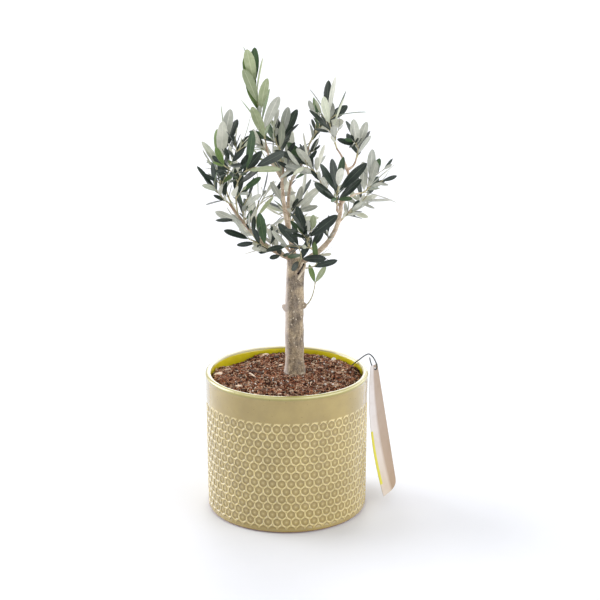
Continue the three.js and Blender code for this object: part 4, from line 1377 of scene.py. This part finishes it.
def normals_of(piece):
    normals = np.zeros(len(piece.data.vertices) * 3)
    piece.data.vertex_normals.foreach_get("vector", normals)
    return normals.reshape(-1, 3)


def push_along_normals(piece, depths):
    """Moves each point out by its depth in millimetres."""
    move_points(piece, points_of(piece) + normals_of(piece) * (np.asarray(depths) * MM)[:, None])


# Where the stub left the trunk: a dark slit, a pale sliver of bared wood beside it, and folds of bark below.
# Lines are drawn on the trunk's front, as x and z.
NOTCH = {
    "slit": ((15.6, 232.5), (10.6, 221.5)), "slit_wide": 0.9, "slit_deep": 1.8,
    "sliver": ((18.2, 231.5), (10.4, 216.8)), "sliver_wide": 0.85, "sliver_high": 0.8,
    "foot": (12, 217), "folds": 3.2, "reach": 9, "front": 5,
}


def from_line(points, line):
    """How far points are from a straight line on the trunk's front. Points on its back are far."""
    start, end = (np.array(corner, float) for corner in line)
    run = end - start
    away = points[:, [0, 2]] - start
    share = np.clip(away @ run / run.dot(run), 0, 1)
    far = np.linalg.norm(away - share[:, None] * run, axis=1)
    return np.where(points[:, 1] < NOTCH["front"], far, 99.0)


def bark_relief(p):
    """Upright furrows, small bumps and rings at old leaf scars."""
    x, y, z = p
    furrow = rough(x / 2.4, y / 2.4, z / 9.0)
    lump = rough(x / 7.0, y / 7.0, z / 12.0 + 5)
    bump = rough(x / 1.3, y / 1.3, z / 1.9 + 9)
    scar = math.sin(z / 4.6 + 1.5 * rough(x / 9, y / 9, z / 16)) ** 8
    return -0.35 * abs(furrow) + 0.55 * lump + 0.22 * bump + 0.16 * scar


def notch_relief(points):
    slit = NOTCH["slit_deep"] * np.exp(-(from_line(points, NOTCH["slit"]) / NOTCH["slit_wide"]) ** 2)
    sliver = NOTCH["sliver_high"] * np.exp(-(from_line(points, NOTCH["sliver"]) / NOTCH["sliver_wide"]) ** 2)
    below = from_line(points, (NOTCH["foot"], (NOTCH["foot"][0], NOTCH["foot"][1] + 0.1)))
    fade = np.clip(1 - below / NOTCH["reach"], 0, 1) * (points[:, 2] < NOTCH["foot"][1])
    return sliver - slit + 0.45 * fade * np.sin(2 * math.pi * below / NOTCH["folds"])


def wood_showing(points, normals):
    """1 where pale wood shows: on the sawn top, the stub's end and the sliver. -1 in the dark slit."""
    sawn_top = (points[:, 2] > TRUNK["tip"][2] - 1.2) & (normals[:, 2] > 0.7)
    from_stub = np.linalg.norm(points - np.array(STUB["tip"]), axis=1)
    stub_end = (from_stub < STUB["thick"][1] / 2) & (normals[:, 1] < -0.4)
    sliver = from_line(points, NOTCH["sliver"]) < NOTCH["sliver_wide"]
    shown = np.where(sawn_top | stub_end | sliver, 1.0, 0.0)
    return np.where(from_line(points, NOTCH["slit"]) < NOTCH["slit_wide"], -1.0, shown)


def bole_bar(trunk):
    """The trunk's own bar, flared at its root, narrower at its pruned top and sunk into the soil."""
    steps = 40
    sunk = np.array([0, 0, 5])
    shares = [k / steps for k in range(steps + 1)]
    centres = [trunk.point(t) for t in shares]
    rise = TRUNK["tip"][2] - TRUNK["root"][2]
    flares = [TRUNK["flare"] * max(0, 1 - t * rise / TRUNK["flare_height"]) ** 2 for t in shares]
    radii = [trunk.radius(t) + flare for t, flare in zip(shares, flares)]
    radii[-1] -= 1.2
    return tube("bole", [centres[0] - sunk, *centres], [radii[0], *radii], 16)


def knob_bars(trunk):
    """The knobs on the trunk, and the old snag on the first of them."""
    knobs = []
    for spec in KNOBS:
        centre = trunk.point(spec["at"]) + unit(np.array(spec["toward"], float)) * spec["out"]
        bpy.ops.mesh.primitive_uv_sphere_add(segments=20, ring_count=12, radius=spec["radius"] * MM,
                                             location=centre * MM)
        knobs.append(bpy.context.object)
    snag = [trunk.point(KNOBS[0]["at"]) + unit(np.array(SNAG["toward"], float)) * out for out in SNAG["out"]]
    return [*knobs, tube("snag", snag, SNAG["radii"], 12)]


def build_trunk(trunk):
    bars = [bole_bar(trunk), *knob_bars(trunk)]
    stub = Limb(trunk.point(STUB["at"]), STUB["through"], STUB["tip"], STUB["thick"])
    shares = [k / 10 for k in range(11)]
    bars.append(tube("stub", [stub.point(t) for t in shares], [stub.radius(t) for t in shares], 12))
    piece = fuse(bars, "trunk_bark", 0.42)
    points = points_of(piece) / MM
    give_values(piece, "wood", 0.5 + 0.5 * wood_showing(points, normals_of(piece)))
    push_along_normals(piece, notch_relief(points) + [bark_relief(p) for p in points])
    piece.data.materials.append(trunk_bark())
    smooth(piece, 70)
    finish_piece(piece, "bark", "trunk")


def bough_relief(p):
    x, y, z = p
    return 0.12 * rough(x / 1.5, y / 1.5, z / 1.5) + 0.16 * rough(x / 5, y / 5, z / 5)


def build_boughs(limbs):
    bars = []
    for name, *_ in BOUGHS:
        limb = limbs[name]
        steps = max(10, int(limb.length() / 2.5))
        shares = [k / steps for k in range(steps + 1)]
        radii = []
        for t in shares:
            along = t * limb.length()
            collar = 0.3 * limb.thick[0] * math.exp(-along / 3.5)
            node = 0.16 * limb.radius(t) * max(0, math.sin(along / 2.1)) ** 6
            radii.append(limb.radius(t) + collar + node)
        bars.append(tube(f"bar_{name}", [limb.point(t) for t in shares], radii, 12))
    piece = fuse(bars, "boughs_bark", 0.34)
    push_along_normals(piece, [bough_relief(p / MM) for p in points_of(piece)])
    piece.data.materials.append(bough_bark())
    smooth(piece, 70)
    finish_piece(piece, "bough_bark", *[f"bough_{row[0]}" for row in BOUGHS])


# ---------------------------------------------------------------- twigs and leaves

def ring_frame(heading, across):
    across = unit(across - heading * heading.dot(across))
    return across, np.cross(heading, across)


def add_twig(heap, twig, leaves):
    """A seven-sided tapering twig that swells where its leaves leave it and closes in a bud."""
    sides = 7
    nodes = [l for l in leaves if np.linalg.norm(l.base - twig.point(0.5)) < twig.length()]
    steps = max(8, int(twig.length() / 1.0))
    across = np.array([1.0, 0.3, 0.1])
    rings = []
    for k in range(steps + 1):
        t = k / steps
        centre, heading = twig.point(t), twig.heading(t)
        across, along = ring_frame(heading, across)
        near = min((np.linalg.norm(l.base - centre) for l in nodes), default=9)
        radius = twig.radius(t) * (0.82 + 0.42 * math.exp(-(near / 0.9) ** 2))
        rings.append((centre, radius, across, along))
    centre, heading = twig.tip, twig.heading(1)
    for ahead, share in ((0.7, 0.95), (1.4, 0.6), (1.9, 0.2)):
        rings.append((centre + heading * ahead, twig.radius(1) * share, across, along))
    points = [c + r * (a * math.cos(2 * math.pi * j / sides) + b * math.sin(2 * math.pi * j / sides))
              for c, r, a, b in rings for j in range(sides)]
    faces = [tuple(reversed(range(sides))), tuple((len(rings) - 1) * sides + j for j in range(sides))]
    heap.add(np.array(points), faces + ring_faces(len(rings), sides), 0.5)


def build_twigs(twigs, leaves):
    heap = Heap()
    for mass, twig, _ in twigs:
        add_twig(heap, twig, [leaf for leaf in leaves if leaf.mass == mass])
    finish_piece(heap.piece("twigs", twig_bark(), 60), "foliage")


# A leaf's blade: the stations along it, how far aside each point round it lies, first on the upper side and
# then on the lower, its least and most fold, roll and wave, where it begins and how soon it is full, how
# thick the stalk and the blade are, its keel, and how far its tip runs on. Above 1, "blunt" puts its widest
# part past its middle.
BLADE = {
    "stations": (0.0, 0.08, 0.12, 0.2, 0.32, 0.46, 0.62, 0.77, 0.88, 0.945, 0.98),
    "round": (-1, -0.5, 0, 0.5, 1, 0.5, 0, -0.5), "upper": 5, "blunt": 1.25,
    "fold": (0.12, 0.42), "roll": (0.0, 0.16), "wave": (-0.05, 0.05),
    "begins": 0.08, "full": 0.1, "thick": (0.75, 0.34), "keel": 0.22, "tip": 0.25,
}
STALK_FINISH = 6


def blade_width(leaf, t):
    """Half the width of the finished blade, blunter than the rule's plain oval."""
    s = (t - LEAF["petiole"]) / (1 - LEAF["petiole"])
    stalk = LEAF["petiole_wide"] / 2
    if s <= 0:
        return stalk
    return stalk * (1 - s) + LEAF["slim"] / 2 * leaf.length * math.sin(math.pi * s ** BLADE["blunt"]) ** 0.5


class LeafHeap(Heap):
    """Leaves in one joined mesh, with the upper side, the underside and the stalk in their own finishes."""

    def __init__(self):
        super().__init__()
        self.finishes, self.flat = [], []

    def add_leaf(self, leaf, kind, shade, chance):
        fold, roll, wave = (chance.uniform(*BLADE[name]) for name in ("fold", "roll", "wave"))
        points = []
        for t in BLADE["stations"]:
            half = blade_width(leaf, t) * (1 + wave * math.sin(9 * t))
            blade = min(1, max(0, (t - BLADE["begins"]) / BLADE["full"]))
            thick = lerp(*BLADE["thick"], blade)
            for k, u in enumerate(BLADE["round"]):
                lift = half * blade * (fold * abs(u) - (fold + roll) * 0.6 * u ** 4)
                skin = 0.5 * thick * (1 - u * u)
                keel = BLADE["keel"] * blade * (1 - t) if u == 0 else 0
                off = lift + skin if k < BLADE["upper"] else lift - (skin + keel)
                points.append(leaf.midrib(t) + leaf.side * (half * u) + leaf.face * off)
                self.flat.append((u / 2 + 0.5, t))
        points.append(leaf.midrib(1) + leaf.heading * BLADE["tip"])
        self.flat.append((0.5, 1))
        around, rings = len(BLADE["round"]), len(BLADE["stations"])
        last = (rings - 1) * around
        faces = ring_faces(rings, around)
        faces += [(last + j, last + (j + 1) % around, last + around) for j in range(around)]
        faces.append(tuple(reversed(range(around))))
        sides = [2 * kind + (0 if j < BLADE["upper"] - 1 else 1) for j in range(around)]
        self.finishes += [STALK_FINISH] * around + sides * (rings - 1) + [STALK_FINISH]
        self.add(np.array(points), faces, shade)

    def leaf_piece(self, name, materials):
        piece = self.piece(name, materials[0], 55)
        for material in materials[1:]:
            piece.data.materials.append(material)
        piece.data.polygons.foreach_set("material_index", self.finishes)
        layer = piece.data.uv_layers.new(name="blade")
        loops = np.zeros(len(piece.data.loops), int)
        piece.data.loops.foreach_get("vertex_index", loops)
        layer.data.foreach_set("uv", np.array(self.flat, np.float32)[loops].ravel())
        return piece


# Each leaf finish: its two shades, its midrib's, its roughness and the midrib's width. An upper side comes
# before its underside, and the stalk comes last.
LEAF_FINISHES = [
    ("leaf_deep_upper", (35, 47, 41), (54, 68, 58), (104, 116, 98), 0.36, 0.03),
    ("leaf_deep_under", (212, 213, 200), (240, 239, 228), (246, 244, 232), 0.6, 0.05),
    ("leaf_mid_upper", (58, 84, 54), (78, 104, 68), (120, 138, 98), 0.4, 0.03),
    ("leaf_mid_under", (206, 211, 188), (230, 232, 212), (238, 238, 218), 0.6, 0.05),
    ("leaf_young_upper", (98, 124, 66), (126, 150, 86), (160, 174, 118), 0.42, 0.03),
    ("leaf_young_under", (178, 190, 146), (204, 212, 174), (216, 220, 184), 0.58, 0.05),
    ("leaf_stalk", (170, 166, 122), (196, 190, 148), (206, 200, 156), 0.55, 0.05),
]


def leaf_finishes():
    return [leaf_skin(name, tone(*low), tone(*high), tone(*rib), roughness, rib_wide)
            for name, low, high, rib, roughness, rib_wide in LEAF_FINISHES]


SIDES_OF_CROWN = {
    "leaves_left": ("left_tip", "left_upright", "left_inner", "left_mid", "left_low", "left_back",
                    "left_upper"),
    "leaves_middle": ("tall", "mid", "upper_right", "centre_back", "front", "low_front_right", "side_shoot",
                      "back"),
    "leaves_right": ("right_top", "right_upper", "right_side", "right_low", "front_right", "inner_right",
                     "low_right"),
}


def build_leaves(leaves):
    chance = random.Random(21)
    finishes = leaf_finishes()
    for name, masses in SIDES_OF_CROWN.items():
        heap = LeafHeap()
        for leaf in leaves:
            if leaf.mass not in masses:
                continue
            young = chance.random() < YOUNG.get(leaf.mass, USUALLY_YOUNG) - SMALL_LESS_YOUNG * leaf.small
            kind = 2 if young else (0 if chance.random() < DEEP else 1)
            heap.add_leaf(leaf, kind, chance.random(), chance)
        finish_piece(heap.leaf_piece(name, finishes), "foliage", *[f"foliage_{mass}" for mass in masses])


# ---------------------------------------------------------------- tag and wire

def bezier(points, t):
    start, through, end = (np.array(p, float) for p in points)
    bend = 2 * through - (start + end) / 2
    return start * (1 - t) ** 2 + bend * (2 * t * (1 - t)) + end * (t * t)


def tag_point(down, over):
    near = bezier(TAG["near"], down)
    far = lerp(np.array(TAG["far"][0], float), np.array(TAG["far"][1], float), down)
    edge = unit(far - near)
    outward = unit(np.array([edge[1], -edge[0], 0]))
    return lerp(near, far, over) + outward * (lerp(*TAG["bulge"], down) * math.sin(math.pi * over))


def build_tag():
    """A strip of card shaped from a flat grid, given its thickness, and punched for the wire."""
    bpy.ops.mesh.primitive_grid_add(x_subdivisions=TAG["columns"], y_subdivisions=TAG["rows"], size=1,
                                    calc_uvs=False)
    tag = bpy.context.object
    tag.name = "tag_card"
    flat = points_of(tag)
    over, down = flat[:, 0] + 0.5, 0.5 - flat[:, 1]
    move_points(tag, np.array([tag_point(d, o) for d, o in zip(down, over)]) * MM)
    layer = tag.data.uv_layers.new(name="card")
    for loop in tag.data.loops:
        layer.data[loop.index].uv = (over[loop.vertex_index], down[loop.vertex_index])
    apply_modifier(tag, "SOLIDIFY", thickness=TAG["thick"] * MM, offset=0)
    centre = tag_point(TAG["hole_at"], 0.5)
    small = 0.01
    across = tag_point(TAG["hole_at"], 0.5 + small) - tag_point(TAG["hole_at"], 0.5 - small)
    bpy.ops.mesh.primitive_cylinder_add(vertices=20, radius=TAG["hole"] * MM, depth=8 * MM,
                                        location=centre * MM,
                                        rotation=(math.pi / 2, 0, math.atan2(across[1], across[0])))
    punch = bpy.context.object
    apply_modifier(tag, "BOOLEAN", operation="DIFFERENCE", solver="EXACT", object=punch)
    bpy.data.objects.remove(punch)
    tag.data.materials.clear()
    tag.data.materials.append(card_finish())
    smooth(tag, 40)
    finish_piece(tag, "tag", "tag")


def smooth_route(route, steps):
    """Points along a smooth curve through the route, eased by the square root of each span."""
    route = [np.array(p, float) for p in route]
    route = [2 * route[0] - route[1], *route, 2 * route[-1] - route[-2]]
    found = []
    for before, start, end, after in zip(route, route[1:], route[2:], route[3:]):
        into, span, beyond = (math.sqrt(np.linalg.norm(b - a)) for a, b in
                              ((before, start), (start, end), (end, after)))
        leave = (start - before) / into - (end - before) / (into + span) + (end - start) / span
        arrive = (end - start) / span - (after - start) / (span + beyond) + (after - end) / beyond
        leave, arrive = leave * span, arrive * span
        for k in range(steps):
            t = k / steps
            found.append(start * (2 * t ** 3 - 3 * t ** 2 + 1) + leave * (t ** 3 - 2 * t ** 2 + t)
                         + end * (3 * t ** 2 - 2 * t ** 3) + arrive * (t ** 3 - t ** 2))
    found.append(route[-2])
    return found


def build_wire():
    centres = smooth_route(WIRE["route"], 8)
    radii = [WIRE["thick"] / 2] * len(centres)
    wire = tube("tag_wire_coat", centres, radii, 12)
    wire.name = "tag_wire_coat"
    open_mesh(wire, "ALL")
    bpy.ops.mesh.remove_doubles(threshold=0.01 * MM)
    bpy.ops.mesh.normals_make_consistent(inside=False)
    close_mesh()
    wire.data.materials.append(wire_coat())
    smooth(wire, 50)
    finish_piece(wire, "wire", "tag_wire")


# ---------------------------------------------------------------- studio

# Each soft light: where it shines from, how strong it is, and how wide it is in degrees.
SOFT_LIGHTS = [
    ("left_light", (-1, 0.35, 0.36), 2.5, 50),
    ("right_light", (1, -0.6, 0.32), 1.75, 65),
    ("back_light", (0.1, 1, 0.5), 1.0, 50),
    ("edge_light", (1, 0.6, 0.4), 0.5, 40),
    ("top_light", (-0.35, 0.5, 1.1), 0.35, 50),
]


FLOOR = {"radius": 14, "level": -0.0004}      # in metres
WORLD_STRENGTH = 0.54


def build_studio():
    bpy.ops.mesh.primitive_circle_add(vertices=96, radius=FLOOR["radius"], fill_type="NGON",
                                      location=(0, 0, FLOOR["level"]))
    floor = bpy.context.object
    floor.name = "studio_floor"
    bpy.ops.object.transform_apply(location=True, rotation=False, scale=False)
    floor.data.materials.append(studio_floor())

    world = bpy.data.worlds.new("studio_light")
    world.use_nodes = True
    sky = world.node_tree.nodes["Background"].inputs
    sky["Color"].default_value = (1, 1, 1, 1)
    sky["Strength"].default_value = WORLD_STRENGTH
    bpy.context.scene.world = world
    bpy.context.scene.view_settings.view_transform = "Standard"
    for name, source, strength, softness in SOFT_LIGHTS:
        light = bpy.data.lights.new(name, "SUN")
        light.energy = strength
        light.angle = math.radians(softness)
        holder = bpy.data.objects.new(name, light)
        holder.rotation_euler = Vector(source).to_track_quat("Z", "Y").to_euler()
        bpy.context.scene.collection.objects.link(holder)


# ---------------------------------------------------------------- the plant in its pot

add_camera()
deselect_all()
GROUPS.update({"mottle": mottle_group(), "grain": grain_group(), "specks": specks_group()})
build_pot()
build_soil_bed()
build_crumbs()
build_fibres()
build_chips()
build_perlite()
limbs, twigs, leaves = grow_plant()
build_trunk(limbs["trunk"])
build_boughs(limbs)
build_twigs(twigs, leaves)
build_leaves(leaves)
build_tag()
build_wire()
build_studio()
deselect_all()
